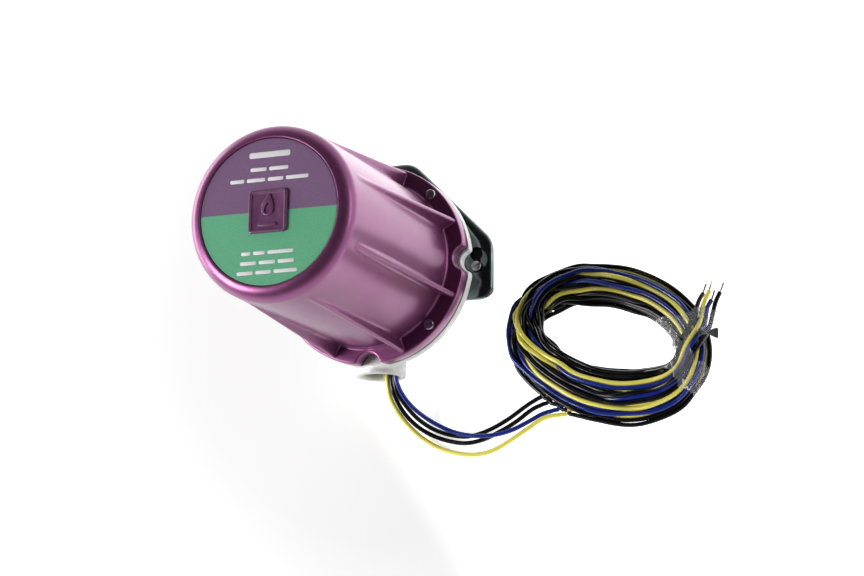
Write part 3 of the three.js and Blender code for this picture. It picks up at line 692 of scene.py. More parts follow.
def coil_line(strand, rng):
    """Where a strand would lie in the coil before it settles."""
    theta = np.arange(ENTRY[strand], LEAVING + 0.01, 2.0)
    inward = [first + pitch * order.index(strand) for order, first, pitch, layer in TURNS]
    height = [LEAD_RADIUS + 3.3 * layer for order, first, pitch, layer in TURNS]
    low, high = CROSSING[strand]
    last = len(TURNS) - 1
    f, z = np.empty_like(theta), np.empty_like(theta)
    for i, degrees in enumerate(theta):
        turn = min(int(max(0, math.floor((degrees - 360 - (low + high) / 2) / 360) + 1)), last)
        before, after = max(turn - 1, 0), min(turn + 1, last)
        came = eased((degrees - (360 * turn + low)) / (high - low)) if turn > 0 else 1.0
        goes = eased((degrees - (360 * (turn + 1) + low)) / (high - low)) if after > turn else 0.0
        f[i] = inward[before] * (1 - came) + inward[turn] * came
        z[i] = height[before] * (1 - came) + height[turn] * came
        if before > 0 and TURNS[turn][1] > TURNS[before][1]:
            z[i] += CROSSING_LIFT * math.sin(math.pi * came)
        f[i] = f[i] * (1 - goes) + inward[after] * goes
        z[i] = z[i] * (1 - goes) + height[after] * goes
        if turn > 0 and TURNS[after][1] > TURNS[turn][1]:
            z[i] += CROSSING_LIFT * math.sin(math.pi * goes)
    wander = sum(size * np.sin(np.radians(theta) * rate + rng.uniform(0, 6.28))
                 for size, rate in ((0.9, 0.37), (0.7, 0.83), (0.35, 1.9)))
    taped = np.exp(-(((theta + 180) % 360 - 180) / 28.0) ** 2)
    squeeze = 0.86 - 0.14 * np.sin(np.radians(theta)) - 0.2 * taped
    f = ((f + wander) / BUNDLE - 0.5) * squeeze + 0.5
    outside, inside = on_ellipse(OUTER, np.radians(theta)), on_ellipse(INNER, np.radians(theta))
    return np.column_stack([outside * (1 - f[:, None]) + inside * f[:, None], z])


def near_pairs(points, owner, reach):
    """Every two points closer than reach that are not neighbours on one lead."""
    first, second = [], []
    for s in range(0, len(points), 800):
        block = points[s:s + 800]
        d2 = sum((block[:, None, k] - points[None, s:, k]) ** 2 for k in range(3))
        i, j = np.nonzero(d2 < reach ** 2)
        i, j = i + s, j + s
        apart = (j > i) & ((owner[i] != owner[j]) | (j - i > 5))
        first.append(i[apart])
        second.append(j[apart])
    return np.concatenate(first), np.concatenate(second)


def wind():
    """Lets the four leads settle on the floor and on each other. Returns {strand: points in mm}."""
    rng = np.random.RandomState(11)
    lines, fixed = [], []
    for strand in STRANDS:
        run, tail = through(ROUTES[strand], STEP), through(TAILS[strand], STEP)
        coil = even(coil_line(strand, rng), STEP)
        line = even(np.vstack([run, bridge(run, coil, STEP), coil, bridge(coil, tail, STEP), tail]), STEP)
        along = np.cumsum(np.r_[0, np.linalg.norm(np.diff(line, axis=0), axis=1)])
        pin = along < np.linalg.norm(np.diff(run, axis=0), axis=1).sum() - 14
        pin[-3:] = True
        lines.append(line)
        fixed.append(pin)
    counts = [len(line) for line in lines]
    ends = np.cumsum(counts)
    P = np.vstack(lines)
    home = P[:, :2].copy()
    total = len(P)
    free = (~np.concatenate(fixed)).astype(float)[:, None]
    owner = np.repeat(np.arange(len(STRANDS)), counts)
    links = np.nonzero(owner[1:] == owner[:-1])[0]
    middle = np.nonzero((owner[1:-1] == owner[:-2]) & (owner[1:-1] == owner[2:]))[0] + 1
    window = np.ones(25) / 25
    round_about = np.degrees(np.arctan2(P[:, 1] - OUTER[1], P[:, 0] - OUTER[0])) + 12
    tight = (1 + 2.5 * np.exp(-(round_about / 24.0) ** 2) * (P[:, 0] > 150))[:, None]
    for r in range(ROUNDS):
        heat = 1 - r / ROUNDS
        if r % 8 == 0:
            I, J = near_pairs(P, owner, CONTACT + 1.6)
        P[:, 2:] -= (0.16 * heat + 0.03) * free                      # weight
        P[:, :2] += (home - P[:, :2]) * (0.05 * heat + 0.012) * tight * free
        for _ in range(4):                                           # stiffness
            bend, change = np.zeros_like(P), np.zeros_like(P)
            bend[middle] = 0.5 * (P[middle - 1] + P[middle + 1]) - P[middle]
            change[middle] = 0.5 * (bend[middle - 1] + bend[middle + 1]) - bend[middle]
            P -= 0.4 * change * free
        for _ in range(2):                                           # even spacing, no slack
            d = P[links + 1] - P[links]
            gap = np.linalg.norm(d, axis=1)
            want = np.convolve(np.pad(gap, 12, mode="edge"), window, mode="valid") * 0.999
            c = (0.25 * (gap - want) / gap)[:, None] * d
            move = np.zeros_like(P)
            np.add.at(move, links, c)
            np.add.at(move, links + 1, -c)
            P += move * free
        for _ in range(2):                                           # contact
            d = P[J] - P[I]
            gap = np.maximum(np.linalg.norm(d, axis=1), 1e-6)
            hit = gap < CONTACT
            i, j = I[hit], J[hit]
            c = (0.5 * (CONTACT - gap[hit]) / gap[hit])[:, None] * d[hit]
            touching = np.bincount(i, minlength=total) + np.bincount(j, minlength=total)
            move = np.stack([np.bincount(j, c[:, k], total) - np.bincount(i, c[:, k], total)
                             for k in range(3)], -1)
            P += move * free / np.maximum(1, touching * 0.45)[:, None]
        P[:, 2] = np.maximum(P[:, 2], LEAD_RADIUS + 0.05)
    return {strand: P[end - count:end] for strand, end, count in zip(STRANDS, ends, counts)}


# the clear tape on the coil: replaced node, centre, direction out of the coil in degrees, width
FILM_BANDS = [("clear_tape_1", (184.5, -68.0), -52.0, 18.0), ("clear_tape_2", (184.0, -40.0), 10.0, 15.0)]


def strand_bundle(tip, ahead, colour, rng):
    """The stripped end of a lead: seven fine wires, slightly splayed."""
    points, faces = [], []
    side = np.cross(ahead, (0, 0, 1.0))
    side /= np.linalg.norm(side)
    up = np.cross(side, ahead)
    for w in range(7):
        base = (0.0, 0.0) if w == 0 else (0.44 * math.cos(w * math.pi / 3), 0.44 * math.sin(w * math.pi / 3))
        flare = rng.uniform(-0.5, 0.5, 2)
        reach = rng.uniform(6.0, 7.2)
        start = len(points)
        rows = 7
        for r in range(rows):
            t = r / (rows - 1)
            twist = 1.4 * t
            u = base[0] * math.cos(twist) - base[1] * math.sin(twist) + flare[0] * t * t
            v = base[0] * math.sin(twist) + base[1] * math.cos(twist) + flare[1] * t * t
            centre = tip + ahead * (reach * t - 0.6) + side * u + up * (v - 0.1)
            centre[2] = max(centre[2], 0.35)
            for k in range(8):
                a = 2 * math.pi * k / 8
                points.append(tuple(centre + 0.22 * (side * math.cos(a) + up * math.sin(a))))
        faces += [tuple(start + i for i in f) for f in grid_faces(rows, 8)]
        faces.append(tuple(start + k for k in range(8)))
        faces.append(tuple(start + (rows - 1) * 8 + k for k in range(8)))
    return piece("bare_wires_" + colour, points, faces, "detector", "tinned_copper", ("stripped_end_" + colour,))


def film_band(settled, centre, heading, width, rng):
    """Points and faces of clear tape wound round the bundle, wrinkled; the heading points out of the coil."""
    cloud = np.vstack(list(settled.values()))
    centre = np.array(centre)
    heading = np.array(polar(heading, 1.0))
    across = np.array([-heading[1], heading[0]])
    offset, radial = (cloud[:, :2] - centre) @ across, (cloud[:, :2] - centre) @ heading
    rows, ring = 26, 110
    phase = rng.uniform(0, 6.28, 12)
    folds = tuple(zip((0.34, 0.26, 0.2, 0.3), (9, 17, 27, 4), (1.1, -1.9, 2.7, -2.2), phase))
    points = []
    for r in range(rows):
        t = 2 * r / (rows - 1) - 1
        s = 0.5 * width * t
        slab = (np.abs(offset - s) < 3.0) & (np.abs(radial) < 22)
        section = np.column_stack([radial[slab], cloud[slab, 2]])
        middle = 0.5 * (section.min(0) + section.max(0))
        for k in range(ring):
            g = 2 * math.pi * k / ring
            # the support of the section in a few directions near g gives a taut, flat-sided loop
            reach = 1e9
            for lean in np.radians(np.arange(-60, 61, 15)):
                d = np.array([math.cos(g + lean), math.sin(g + lean)])
                reach = min(reach, (((section - middle) @ d).max() + LEAD_RADIUS + 0.25) / math.cos(lean))
            fold = sum(size * math.sin(n * g + m * t * 3 + p) for size, n, m, p in folds)
            q = middle + np.array([math.cos(g), math.sin(g)]) * (reach + 0.45 + 0.55 * abs(fold))
            ragged = (1.1 * math.sin(3 * g + phase[4]) + 0.6 * math.sin(7 * g + phase[5])) * t * t
            xy = centre + heading * q[0] + across * (s + ragged + 0.4 * math.sin(5 * g + phase[6]) * t)
            points.append((xy[0], xy[1], max(q[1], 0.2)))
    return points, grid_faces(rows, ring)


def add_tie_tab(settled):
    """The twisted end of the tape: a small dark bow that lies on the leads and out over the floor."""
    # x and y along the bow and half its width there
    path = [(190.5, -45.2, 2.6), (192.6, -45.3, 1.5), (194.4, -45.4, 0.8), (196.0, -45.3, 1.1),
            (197.6, -45.3, 2.3), (199.4, -45.4, 3.1), (201.2, -45.7, 3.3)]
    top = np.vstack(list(settled.values()))
    points, thick = [], 0.35
    for i, (x, y, h) in enumerate(path):
        near = np.hypot(top[:, 0] - x, top[:, 1] - y) < 3.4
        z = (top[near, 2].max() if near.any() else 6.0) + LEAD_RADIUS + 0.5 + 0.5 * math.sin(1.9 * i)
        pleat = [(-h, 0.0), (-h * 0.5, 0.7), (0.0, -0.1), (h * 0.5, 0.6), (h, -0.1)]
        points += [(x, y + w, z + lift) for w, lift in pleat]
        points += [(x, y + w, z + lift - thick) for w, lift in reversed(pleat)]
    faces = grid_faces(len(path), 10)
    for end in (0, (len(path) - 1) * 10):
        faces += [(end + k, end + k + 1, end + 8 - k, end + 9 - k) for k in range(4)]
    tab = scratch(points, faces)
    soft = tab.modifiers.new("soft", "SUBSURF")
    soft.levels = soft.render_levels = 2
    baked(tab)
    shade(tab.data, 60.0)
    return named(tab, "tie_tab", "detector", "black_pvc", look=TAB_LOOK)


def add_leads():
    settled = wind()
    rng = np.random.RandomState(5)
    for colour in STRANDS:
        line = settled[colour]
        data = bpy.data.curves.new("lead_" + colour + "_cord", "CURVE")
        data.dimensions = "3D"
        data.bevel_depth = LEAD_RADIUS * MM
        data.bevel_resolution = 3
        data.use_fill_caps = True
        spline = data.splines.new("POLY")
        spline.points.add(len(line) - 1)
        spline.points.foreach_set("co", np.column_stack([line * MM, np.ones(len(line))]).ravel())
        spline.use_smooth = True
        cord = bpy.data.objects.new("cord_" + colour, data)
        slot = colour.split("_")[0] + "_pvc"
        place(cord, "detector", slot, ("lead_" + colour, "tail_" + colour))
        ahead = (line[-1] - line[-4]) / np.linalg.norm(line[-1] - line[-4])
        ahead[2] = 0.0
        ahead /= np.linalg.norm(ahead)
        wires = strand_bundle(line[-1].copy(), ahead, colour, rng)
    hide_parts("lead_coil")
    for name, centre, heading, width in FILM_BANDS:
        band = scratch(*film_band(settled, centre, heading, width, rng))
        wall = band.modifiers.new("skin", "SOLIDIFY")
        wall.thickness = 0.1 * MM
        wall.offset = 1.0
        baked(band)
        shade(band.data, 50.0)
        named(band, "film_" + name[-1], "detector", "clear_film", (name,))
    add_tie_tab(settled)


add_leads()

# ------------------------------------------------------------------ cover

COVER_FOOT, COVER_RIM, COVER_TOP = 49.0, 57.5, 194.5
COVER_RADIUS, COVER_INSIDE, COVER_CORNER = 50.4, 47.2, 8.2
RIM_RADIUS = 60.8
RIM_EDGE = 1.1               # rounding of the flange's upper edge
FOOT_FILLET = 2.2            # between the wall and the flange
RIB_REACH, RIB_TOP = 59.7, 180.0
RIB_HALF = 1.6               # half thickness of a rib
RIB_LEVELS = (184, 181.5, 180, 179, 177, 173, 168, 162, 155, 147, 139, 131, 123, 115, 107, 99, 91, 84, 78, 73, 69,
              66, 63.5, 61.5)
RIB_ROOT, RIB_CREST = 1.8, 1.15
NOTCH_CENTRE = 61.2          # radius to the middle of each notch in the flange
SCREW_ANGLES = (45, 135, 225, 315)
SCREW_CIRCLE = 56.0          # radius to the cover screws


def notch_curve(circle, radius):
    """Half a notch in its own frame, x outwards: from the deepest point to the rim."""
    half = arc(NOTCH_CENTRE, 0, radius, 180, 110, 8)
    x, y = half[-1]
    bend = (x + 1.94 * 0.94, y + 1.94 * 0.342)
    mouth = radius + 4.9
    end = (math.sqrt(circle ** 2 - mouth ** 2), mouth)
    for i in range(1, 8):
        t = i / 7
        half.append(tuple((1 - t) ** 2 * p + 2 * t * (1 - t) * q + t * t * r for p, q, r in zip((x, y), bend, end)))
    return half


def rim_columns(circle, radius, notches=(0, 90, 180, 270)):
    """The flange's outline, one point for each column of the cover's grid, with what each column crosses."""
    columns = []
    for quarter in (0, 90, 180, 270):
        half = notch_curve(circle, radius)
        whole = [(x, -y) for x, y in reversed(half[1:])] + half
        for x, y in whole:
            r = math.hypot(x, y) if quarter in notches else circle
            columns.append((math.degrees(math.atan2(y, x)) + quarter, r, None))
        limit = math.degrees(math.atan2(half[-1][1], half[-1][0]))
        before, after = np.linspace(limit, 17.3, 6), np.linspace(72.7, 90 - limit, 6)
        between = np.linspace(27.7, 62.3, 14)
        for angles, rib in ((before[1:-1], 22.5), (between, 67.5), (after[1:-1], None)):
            columns += [(a + quarter, circle, None) for a in angles]
            if rib:
                columns += [(rib + 5.0 * k / 8 + quarter, circle, (rib + quarter, k)) for k in range(-8, 9)]
    return columns


def outset(outline, distance):
    """The closed outline moved along its own normals; distance is one number or one for each point."""
    p = np.array(outline)
    along = np.roll(p, -1, 0) - np.roll(p, 1, 0)
    along /= np.linalg.norm(along, axis=1)[:, None]
    out = np.column_stack([along[:, 1], -along[:, 0]])
    return p + out * np.reshape(distance, (-1, 1))


def rib_point(k, height):
    """Across and out from the wall, for column k of a rib from its root at 0 to its crest at 8."""
    root, crest = min(RIB_ROOT, 0.5 * height), min(RIB_CREST, 0.5 * height)
    side = RIB_HALF - 0.012 * height
    if k <= 3:
        a = math.radians(270 - 30 * k)
        return side + RIB_ROOT + RIB_ROOT * math.cos(a), root + root * math.sin(a)
    if k == 4:
        return side - 0.05, root + 0.5 * (height - root - crest)
    a = math.radians(30 * (k - 5))
    return side - 0.1 - RIB_CREST + RIB_CREST * math.cos(a), height - crest + crest * math.sin(a)


def wall_outline(columns, height):
    """The wall's outline where its ribs stand out by the given height."""
    points = []
    for angle, rim, rib in columns:
        if rib is None:
            points.append(polar(angle, COVER_RADIUS))
            continue
        centre, k = rib
        across, out = rib_point(8 - abs(k), height)
        x, y = math.sqrt(COVER_RADIUS ** 2 - across ** 2) + out, math.copysign(across, k) if k else 0.0
        c, s = math.cos(math.radians(centre)), math.sin(math.radians(centre))
        points.append((x * c - y * s, x * s + y * c))
    return points


def add_cover_body():
    """One grid: from the middle of the top over the wall, its ribs and the flange, and back up inside."""
    columns = rim_columns(RIM_RADIUS, 7.5)
    bare = wall_outline(columns, 0.0)
    directions = np.array(bare) / COVER_RADIUS
    rows = []
    corner = COVER_RADIUS - COVER_CORNER
    cap = [(1e-5, 193.0), (10, 193.0), (24, 193.0), (36, 193.0), (41.5, 193.0), (41.9, 193.12), (42.05, 193.4),
           (42.08, 194.0), (42.2, 194.36)] + arc(corner, COVER_TOP - COVER_CORNER, COVER_CORNER, 88, 0, 16)
    for radius, z in cap:
        rows.append([(x * radius, y * radius, z) for x, y in directions])
    rim = np.array([polar(a, r) for a, r, rib in columns])
    edge = outset(rim, -RIM_EDGE)
    room = np.linalg.norm(edge, axis=1)
    foot = []
    for (angle, r, rib), reach in zip(columns, room):
        if rib is None:
            foot.append(min(FOOT_FILLET, 0.75 * (reach - COVER_RADIUS)))
        else:
            foot.append((0.2, 0.22, 0.3, 0.5, 0.7, 0.9, 1.1, 1.5, 1.9)[abs(rib[1])])
    foot = np.array(foot)
    slope = (RIB_REACH - COVER_RADIUS) / (RIB_TOP - COVER_RIM - 0.6)
    for z in RIB_LEVELS:
        outline = wall_outline(columns, max(0.0, slope * (RIB_TOP - z)))
        rows.append([(x, y, z) for x, y in outline])
    last = wall_outline(columns, RIB_REACH - COVER_RADIUS)
    for i in range(7):
        a = math.radians(15 * i)
        moved_out = outset(last, foot * (1 - math.cos(a)))
        rows.append([(x, y, COVER_RIM + f * (1 - math.sin(a))) for (x, y), f in zip(moved_out, foot)])
    start = np.array([r[:2] for r in rows[-1]])
    for t in (0.3, 0.65, 1.0):
        rows.append([(x, y, COVER_RIM) for x, y in start * (1 - t) + edge * t])
    for i in range(1, 5):
        a = math.radians(22.5 * i)
        round_edge = outset(rim, -RIM_EDGE * (1 - math.sin(a)))
        rows.append([(x, y, COVER_RIM - RIM_EDGE * (1 - math.cos(a))) for x, y in round_edge])
    for z, inset in ((53.5, 0.0), (49.5, 0.0), (49.15, 0.15), (COVER_FOOT, 0.5)):
        rows.append([(x, y, z) for x, y in outset(rim, -inset)])
    inner = [(COVER_INSIDE + 0.4, COVER_FOOT), (COVER_INSIDE + 0.1, 49.1), (COVER_INSIDE, 49.4)]
    inner += [(COVER_INSIDE, z) for z in (58, 70, 85, 100, 120, 140, 160, 175)]
    inner += arc(COVER_INSIDE - 6, 183.8, 6, 0, 90, 6) + [(28, 189.8), (12, 189.8), (1e-5, 189.8)]
    for radius, z in inner:
        rows.append([(x * radius, y * radius, z) for x, y in directions])
    piece("cover_body", *skin(rows), "cover", "purple_enamel", ("cover_shell",), 50.0)


def screw_form(head_radius, head_height, shank_radius, seat, tip, slot):
    """A slotted screw about Z, head up, as a scratch object; slot is (width, depth, turn in degrees)."""
    crown = seat + head_height
    profile = [(0, tip), (shank_radius - 0.5, tip), (shank_radius, tip + 0.5), (shank_radius, seat - 0.2),
               (shank_radius + 0.2, seat), (head_radius - 0.2, seat), (head_radius, seat + 0.2),
               (head_radius, crown - 0.85)]
    profile += arc(head_radius - 0.7, crown - 0.85, 0.7, 12, 78, 5)
    profile += [(head_radius * 0.55, crown - 0.06), (head_radius * 0.25, crown - 0.01), (0, crown)]
    screw = scratch(*lathe(profile, 48))
    width, depth, turn = slot
    reach = head_radius + 2
    box = [(x, y, z) for z in (crown - depth, crown + 1) for x, y in
           ((-reach, -width / 2), (reach, -width / 2), (reach, width / 2), (-reach, width / 2))]
    faces = [(0, 1, 2, 3), (4, 5, 6, 7), (0, 1, 5, 4), (1, 2, 6, 5), (2, 3, 7, 6), (3, 0, 4, 7)]
    combine(screw, [scratch(shifted(box, turn=turn), faces)], "DIFFERENCE")
    bevel = screw.modifiers.new("edge", "BEVEL")
    bevel.width = 0.12 * MM
    bevel.segments = 2
    bevel.limit_method = "ANGLE"
    bevel.angle_limit = math.radians(60)
    return baked(screw)


def add_screw(node, body, x, y, sizes, slot, over=False):
    """A screw at (x, y), for the CAD node that it replaces; over turns it upside down."""
    screw = screw_form(*sizes, slot)
    if over:
        for vertex in screw.data.vertices:
            vertex.co.y, vertex.co.z = -vertex.co.y, -vertex.co.z
    for vertex in screw.data.vertices:
        vertex.co.x += x * MM
        vertex.co.y += y * MM
    tidy(screw.data, 40.0)
    named(screw, node.replace("screw_", "screw_head_"), body, "screw_zinc", (node,))


LABEL_RADIUS, LABEL_HEIGHT = 41.1, 193.745


def add_label():
    """The label as a fine grid, a little uneven and with one small crease at its left."""
    rows, columns, points = 44, 144, []
    edge = [(1e-5, 193.15), (20, 193.15), (41.3, 193.15), (41.6, 193.3), (41.7, 193.5), (41.66, 193.66),
            (41.5, 193.73)]
    top = [LABEL_RADIUS * (1 - i / (rows - 1)) + 1e-5 for i in range(rows)]
    for radius, z in edge:
        points += [(*polar(360 * i / columns, radius), z) for i in range(columns)]
    for radius in top:
        for i in range(columns):
            x, y = polar(360 * i / columns, radius)
            crease = 0.07 * math.exp(-((y - 0.6 - 0.08 * (x + 26)) / 0.7) ** 2) * math.exp(-((x + 27) / 7.0) ** 2)
            z = LABEL_HEIGHT + 0.012 * math.sin(x * 0.21 + 1.0) * math.sin(y * 0.17) + crease
            points.append((x, y, min(z, 193.79)))
    faces = grid_faces(len(edge) + rows, columns)
    piece("label_face", points, faces, "cover", "label_print", ("label_disc",), 40.0)


# centre and height of each printed line, and the widths of the plain blocks that stand for its words
LABEL_LINES = [
    (32.5, 3.3, (25.0,)),
    (24.3, 2.1, (9.8, 11.6)),
    (18.3, 2.1, (8.6, 11.2, 9.4, 13.6)),
    (-23.2, 2.0, (5.6, 7.0, 15.6)),
    (-28.7, 2.0, (9.8, 9.8, 9.8)),
    (-34.2, 2.0, (9.8, 9.4, 14.0)),
]


def add_label_lines():
    """Plain blocks in place of the label's words."""
    points, faces = [], []
    for y, height, words in LABEL_LINES:
        gap = 1.7
        x = -(sum(words) + gap * (len(words) - 1)) / 2
        for width in words:
            centre = x + width / 2
            w, h, r = width / 2, height / 2, height * 0.32
            corners = [(centre - w, y - h, r), (centre + w, y - h, r), (centre + w, y + h, r), (centre - w, y + h, r)]
            outline = rounded(corners, 5)
            soft = [(centre + (px - centre) * 0.985, y + (py - y) * 0.94) for px, py in outline]
            p, f = loft([(outline, 193.62), (outline, 193.8), (soft, 193.83)])
            faces += [tuple(i + len(points) for i in face) for face in f]
            points += p
            x += width + gap
    piece("label_lines", points, faces, "cover", "label_print", (), 50.0, LINE_LOOK)


def add_emblem():
    """The square plate in the middle of the label, with a plain flame over a bar."""
    def square(inset):
        x, y, r = 11.75 - inset, 12.25 - inset, max(2.2 - inset, 0.7)
        return rounded([(-x, -y, r), (x, -y, r), (x, y, r), (-x, y, r)], 8)

    def scaled(outline, f):
        cx, cy = sum(p[0] for p in outline) / len(outline), sum(p[1] for p in outline) / len(outline)
        return [(cx + (x - cx) * f, cy + (y - cy) * f) for x, y in outline]

    levels = ((0.15, 193.45), (0.0, 193.6), (0.0, 194.7), (0.12, 195.05), (0.4, 195.3), (0.75, 195.38),
              (1.25, 195.38), (1.5, 195.28), (1.7, 195.0), (1.85, 194.62), (2.2, 194.5))
    emblem = scratch(*loft([(square(inset), z) for inset, z in levels]))
    flame = []
    for i in range(48):
        a = 2 * math.pi * i / 48
        x = 4.6 * math.sin(a) * (1 - 0.55 * (0.5 + 0.5 * math.cos(a)) ** 1.3)
        y = 6.6 * math.cos(a) + (0.9 * math.exp(-((a - math.pi) / 0.9) ** 2))
        lean = 0.9 * max(0.0, y / 6.6) ** 2
        flame.append((x + lean, y + 3.0))
    tongue = [(x * 0.5 - 0.1, (y - 3.0) * 0.48 + 1.1) for x, y in flame]
    bar = rounded([(-5.6, -8.6, 0.8), (5.6, -8.6, 0.8), (5.6, -6.7, 0.8), (-5.6, -6.7, 0.8)], 6)
    raised = ((1.0, 194.2), (1.0, 195.05), (0.97, 195.25), (0.91, 195.33))
    for icon in (flame, bar):
        relief = loft([(scaled(icon, f), z) for f, z in raised])
        combine(emblem, [scratch(*relief)], "UNION")
    combine(emblem, [scratch(*loft([(tongue, 194.6), (tongue, 195.8)]))], "DIFFERENCE")
    tidy(emblem.data, 45.0)
    named(emblem, "emblem", "cover", "purple_enamel", ("emblem_plate",), EMBLEM_LOOK)


add_cover_body()
add_label()
add_label_lines()
add_emblem()
for index, angle in enumerate(SCREW_ANGLES):
    x, y = polar(angle, SCREW_CIRCLE)
    add_screw("cover_screw_%d" % (index + 1), "cover", x, y,
              (3.1, 2.4, 2.0, COVER_RIM, 41.5), (0.95, 1.15, 35 * index + 60 + (4, 0, 0, 4)[index]))

# ------------------------------------------------------------------ gasket and base casting

def add_gasket():
    """The rubber ring between the cover and the base."""
    columns = rim_columns(RIM_RADIUS - 0.4, 7.9)
    outside = np.array([polar(a, r) for a, r, rib in columns])
    inside = [polar(a, 46.4) for a, r, rib in columns]
    rows = [[(x, y, 47.2) for x, y in inside]]
    rows += [[(x, y, z) for x, y in outset(outside, out)] for out, z in
             ((-0.35, 47.2), (-0.05, 47.35), (0.08, 47.95), (-0.05, 48.55), (-0.35, 48.7))]
    rows += [[(x, y, 48.7) for x, y in inside], [(x, y, 47.2) for x, y in inside]]
    piece("gasket", *skin(rows), "detector", "black_rubber", ("cover_gasket",), 40.0)


def rod(radius, low, high, x=0.0, y=0.0, segments=48):
    points, faces = lathe([(0, low), (radius, low), (radius, high), (0, high)], segments)
    return scratch(shifted(points, x, y), faces)


BASE_RIM_RADIUS = 60.6


def add_base():
    """The base casting, remade at the end as one soft-edged skin."""
    columns = rim_columns(BASE_RIM_RADIUS, 6.3, (0, 90, 180))
    rim = np.array([polar(a, r) for a, r, rib in columns])
    wall = np.minimum(51.0, np.linalg.norm(rim, axis=1) - 1.0)
    directions = rim / np.linalg.norm(rim, axis=1)[:, None]
    rows = [[(1e-5 * x, 1e-5 * y, 33.0) for x, y in directions]]
    for inset, z in ((2.0, 33.0), (0.6, 33.4), (0.0, 34.2), (0.0, 37.5), (-0.5, 38.8)):
        rows.append([(x * (w - inset), y * (w - inset), z) for (x, y), w in zip(directions, wall)])
    for inset, z in ((1.6, 39.9), (0.5, 40.4), (0.0, 41.4), (0.0, 43.5), (0.0, 46.2), (0.3, 46.75), (0.9, 46.9)):
        rows.append([(x, y, z) for x, y in outset(rim, -inset)])
    rows.append([(1e-5 * x, 1e-5 * y, 46.9) for x, y in directions])
    body = scratch(*skin(rows))
    boss = lathe([(0, -64.0), (14.6, -64.0), (15.2, -63.7), (15.4, -63.0), (15.4, -34.0), (0, -34.0)], 97)
    combine(body, [scratch(along_y(boss[0], -3, 31), boss[1])], "UNION")
    room = lathe([(0, 37.0), (44.4, 37.0), (45.6, 37.5), (46.0, 38.7), (46.0, 60.0), (0, 60.0)], 101)
    combine(body, [scratch(*room)], "DIFFERENCE")
    seat = lathe([(0, 35.5), (21.5, 35.5), (20.6, 37.4), (19.3, 38.8), (18.5, 42.7), (18.1, 43.2), (0, 43.2)], 96)
    combine(body, [scratch(*seat)], "UNION")
    bore = [(0, -65.0), (11.9, -65.0), (11.9, -64.2), (11.1, -63.2), (10.8, -62.0), (10.8, -37.5), (0, -37.5)]
    points, faces = lathe(bore, 97)
    cutters = [scratch(along_y(points, -3, 31), faces)]
    cutters += [rod(11.0, 30, 50, segments=90), rod(14.6, 36, 50, segments=94)]
    cutters += [rod(2.3, 30, 50, *polar(a, SCREW_CIRCLE), 32) for a in SCREW_ANGLES]
    combine(body, cutters, "DIFFERENCE")
    remesh = body.modifiers.new("cast", "REMESH")
    remesh.mode = "VOXEL"
    remesh.voxel_size = 0.85 * MM
    smooth = body.modifiers.new("soft", "SMOOTH")
    smooth.factor = 0.5
    smooth.iterations = 4
    baked(body)
    shade(body.data, 60.0)
    named(body, "base_cast_body", "detector", "cast_aluminium", ("base_casting",))


add_gasket()
add_base()

# ------------------------------------------------------------------ keyhole plate and mounting flange

MOUNT_CIRCLE = 59.0          # radius to the mounting screws
KEYHOLE_TURN = 7.6           # degrees from a screw's place to the keyhole's large end
KEYHOLE_SLOT = 4.4           # width of the narrow end
PLATE_SCREWS = ((34, 12), (-34, 12), (34, -16), (-34, -16))


def plate_outline(inset):
    reach, across = 68.5 - inset, 84.6 - inset * math.sqrt(2)
    side, lower, skirt = across - reach, -20 + inset, -26 + inset
    soft = 0.35 * inset
    return rounded([
        (38, skirt, 4), (44, lower, 4), (reach, lower, 8 - soft), (reach, side, 15 - soft), (side, reach, 15 - soft),
        (-side, reach, 15 - soft), (-reach, side, 15 - soft), (-reach, lower, 8 - soft), (-44, lower, 4),
        (-38, skirt, 4)], 10)


def plate_stack(*levels):
    """A scratch plate through its outline at each (inset, height)."""
    return scratch(*loft([(plate_outline(inset), z) for inset, z in levels]))


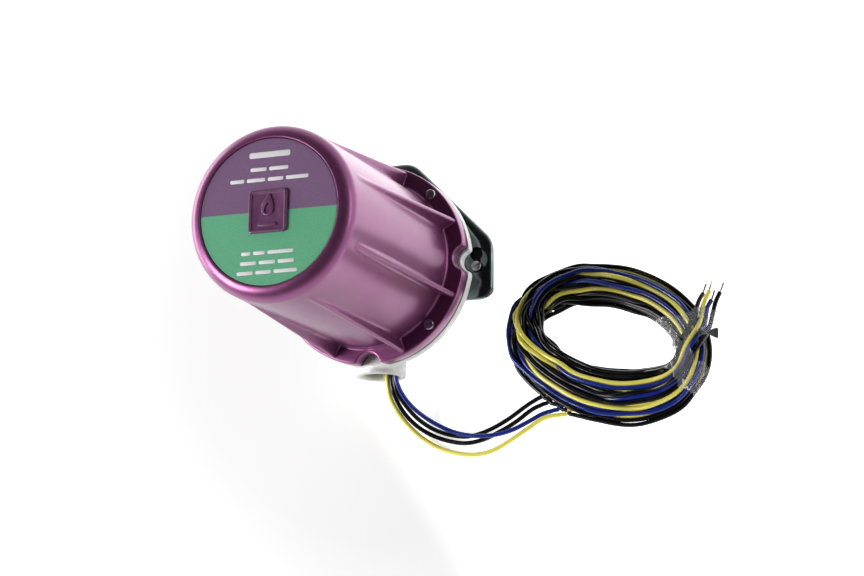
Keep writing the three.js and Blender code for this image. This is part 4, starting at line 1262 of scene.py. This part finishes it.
def add_keyhole_plate():
    body = plate_stack((0.5, 28.0), (0.1, 28.2), (0.0, 28.6), (0.0, 29.6), (0.15, 30.2), (0.6, 30.8), (1.3, 31.3),
                       (2.3, 31.75), (3.6, 32.15), (5.0, 32.5), (6.0, 32.67), (6.8, 32.7))
    well = [(0, 31.0), (6.9, 31.0), (7.35, 31.15), (7.6, 31.5), (7.6, 32.2), (8.1, 32.9), (8.1, 34), (0, 34)]
    well = lathe(well, 96)
    half = KEYHOLE_SLOT / 2
    slot = arc(0, 0, MOUNT_CIRCLE + half, 0, KEYHOLE_TURN, 8) + arc(0, 0, MOUNT_CIRCLE - half, KEYHOLE_TURN, 0, 8)
    slot = loft([(slot, 27), (slot, 34)])
    cutters = [rod(12.0, 27, 34, segments=96)]
    for angle in (0, 90, 180):
        cutters.append(scratch(shifted(well[0], *polar(angle + KEYHOLE_TURN / 2, MOUNT_CIRCLE - 0.6)), well[1]))
        cutters.append(scratch(shifted(slot[0], turn=angle), slot[1]))
        for (x, y), radius in (((MOUNT_CIRCLE, 0.0), half), (polar(KEYHOLE_TURN, MOUNT_CIRCLE), 4.0)):
            (px, py, _), = shifted([(x, y, 0)], turn=angle)
            cutters.append(rod(radius, 27, 34, px, py))
    for x, y in PLATE_SCREWS:
        cutters += [rod(2.1, 27, 34, x, y, 32), rod(4.0, 27, 30.6, x, y, 32)]
    combine(body, cutters, "DIFFERENCE")
    tidy(body.data, 24.0)
    named(body, "keyhole_plate_body", "detector", "dark_chrome", ("keyhole_plate",))


def add_mounting_flange():
    body = plate_stack((3.2, 21.0), (2.7, 21.2), (2.0, 21.8), (1.6, 22.7), (1.6, 24.9), (1.7, 25.5), (2.0, 26.1),
                       (2.6, 26.4))
    collar = [(0, 0), (21.6, 0), (22.2, 0.3), (22.5, 0.9), (22.5, 17.2), (22.9, 18.6), (23.9, 19.9), (25.3, 20.8),
              (26.6, 21.2), (26.6, 22.0), (0, 22.0)]
    combine(body, [scratch(*lathe(collar, 96))], "UNION")
    bore = lathe([(0, -1), (17.0, -1), (17.0, 0.0), (16.0, 1.0), (16.0, 21.0), (0, 21.0)], 96)
    cutters = [scratch(*bore), rod(13.0, 19, 28, segments=96)]
    cutters += [rod(2.1, 15, 28, *polar(angle, MOUNT_CIRCLE), 32) for angle in (0, 90, 180)]
    combine(body, cutters, "DIFFERENCE")
    tidy(body.data, 26.0)
    named(body, "mounting_flange_body", "mount", "dark_chrome", ("mounting_flange",))


add_keyhole_plate()
add_mounting_flange()
for index, (x, y) in enumerate(PLATE_SCREWS):
    add_screw("plate_screw_%d" % (index + 1), "detector", x, y,
              (3.6, 2.1, 1.8, -30.4, -36.2), (0.9, 1.0, 40 * index + 15), over=True)
for index, angle in enumerate((0, 90, 180)):
    x, y = polar(angle, MOUNT_CIRCLE)
    add_screw("mounting_screw_%d" % (index + 1), "mount", x, y,
              (3.1, 2.6, 1.7, 31.3, 21.8), (0.9, 1.2, 50 * index + 25))

bpy.context.view_layer.update()
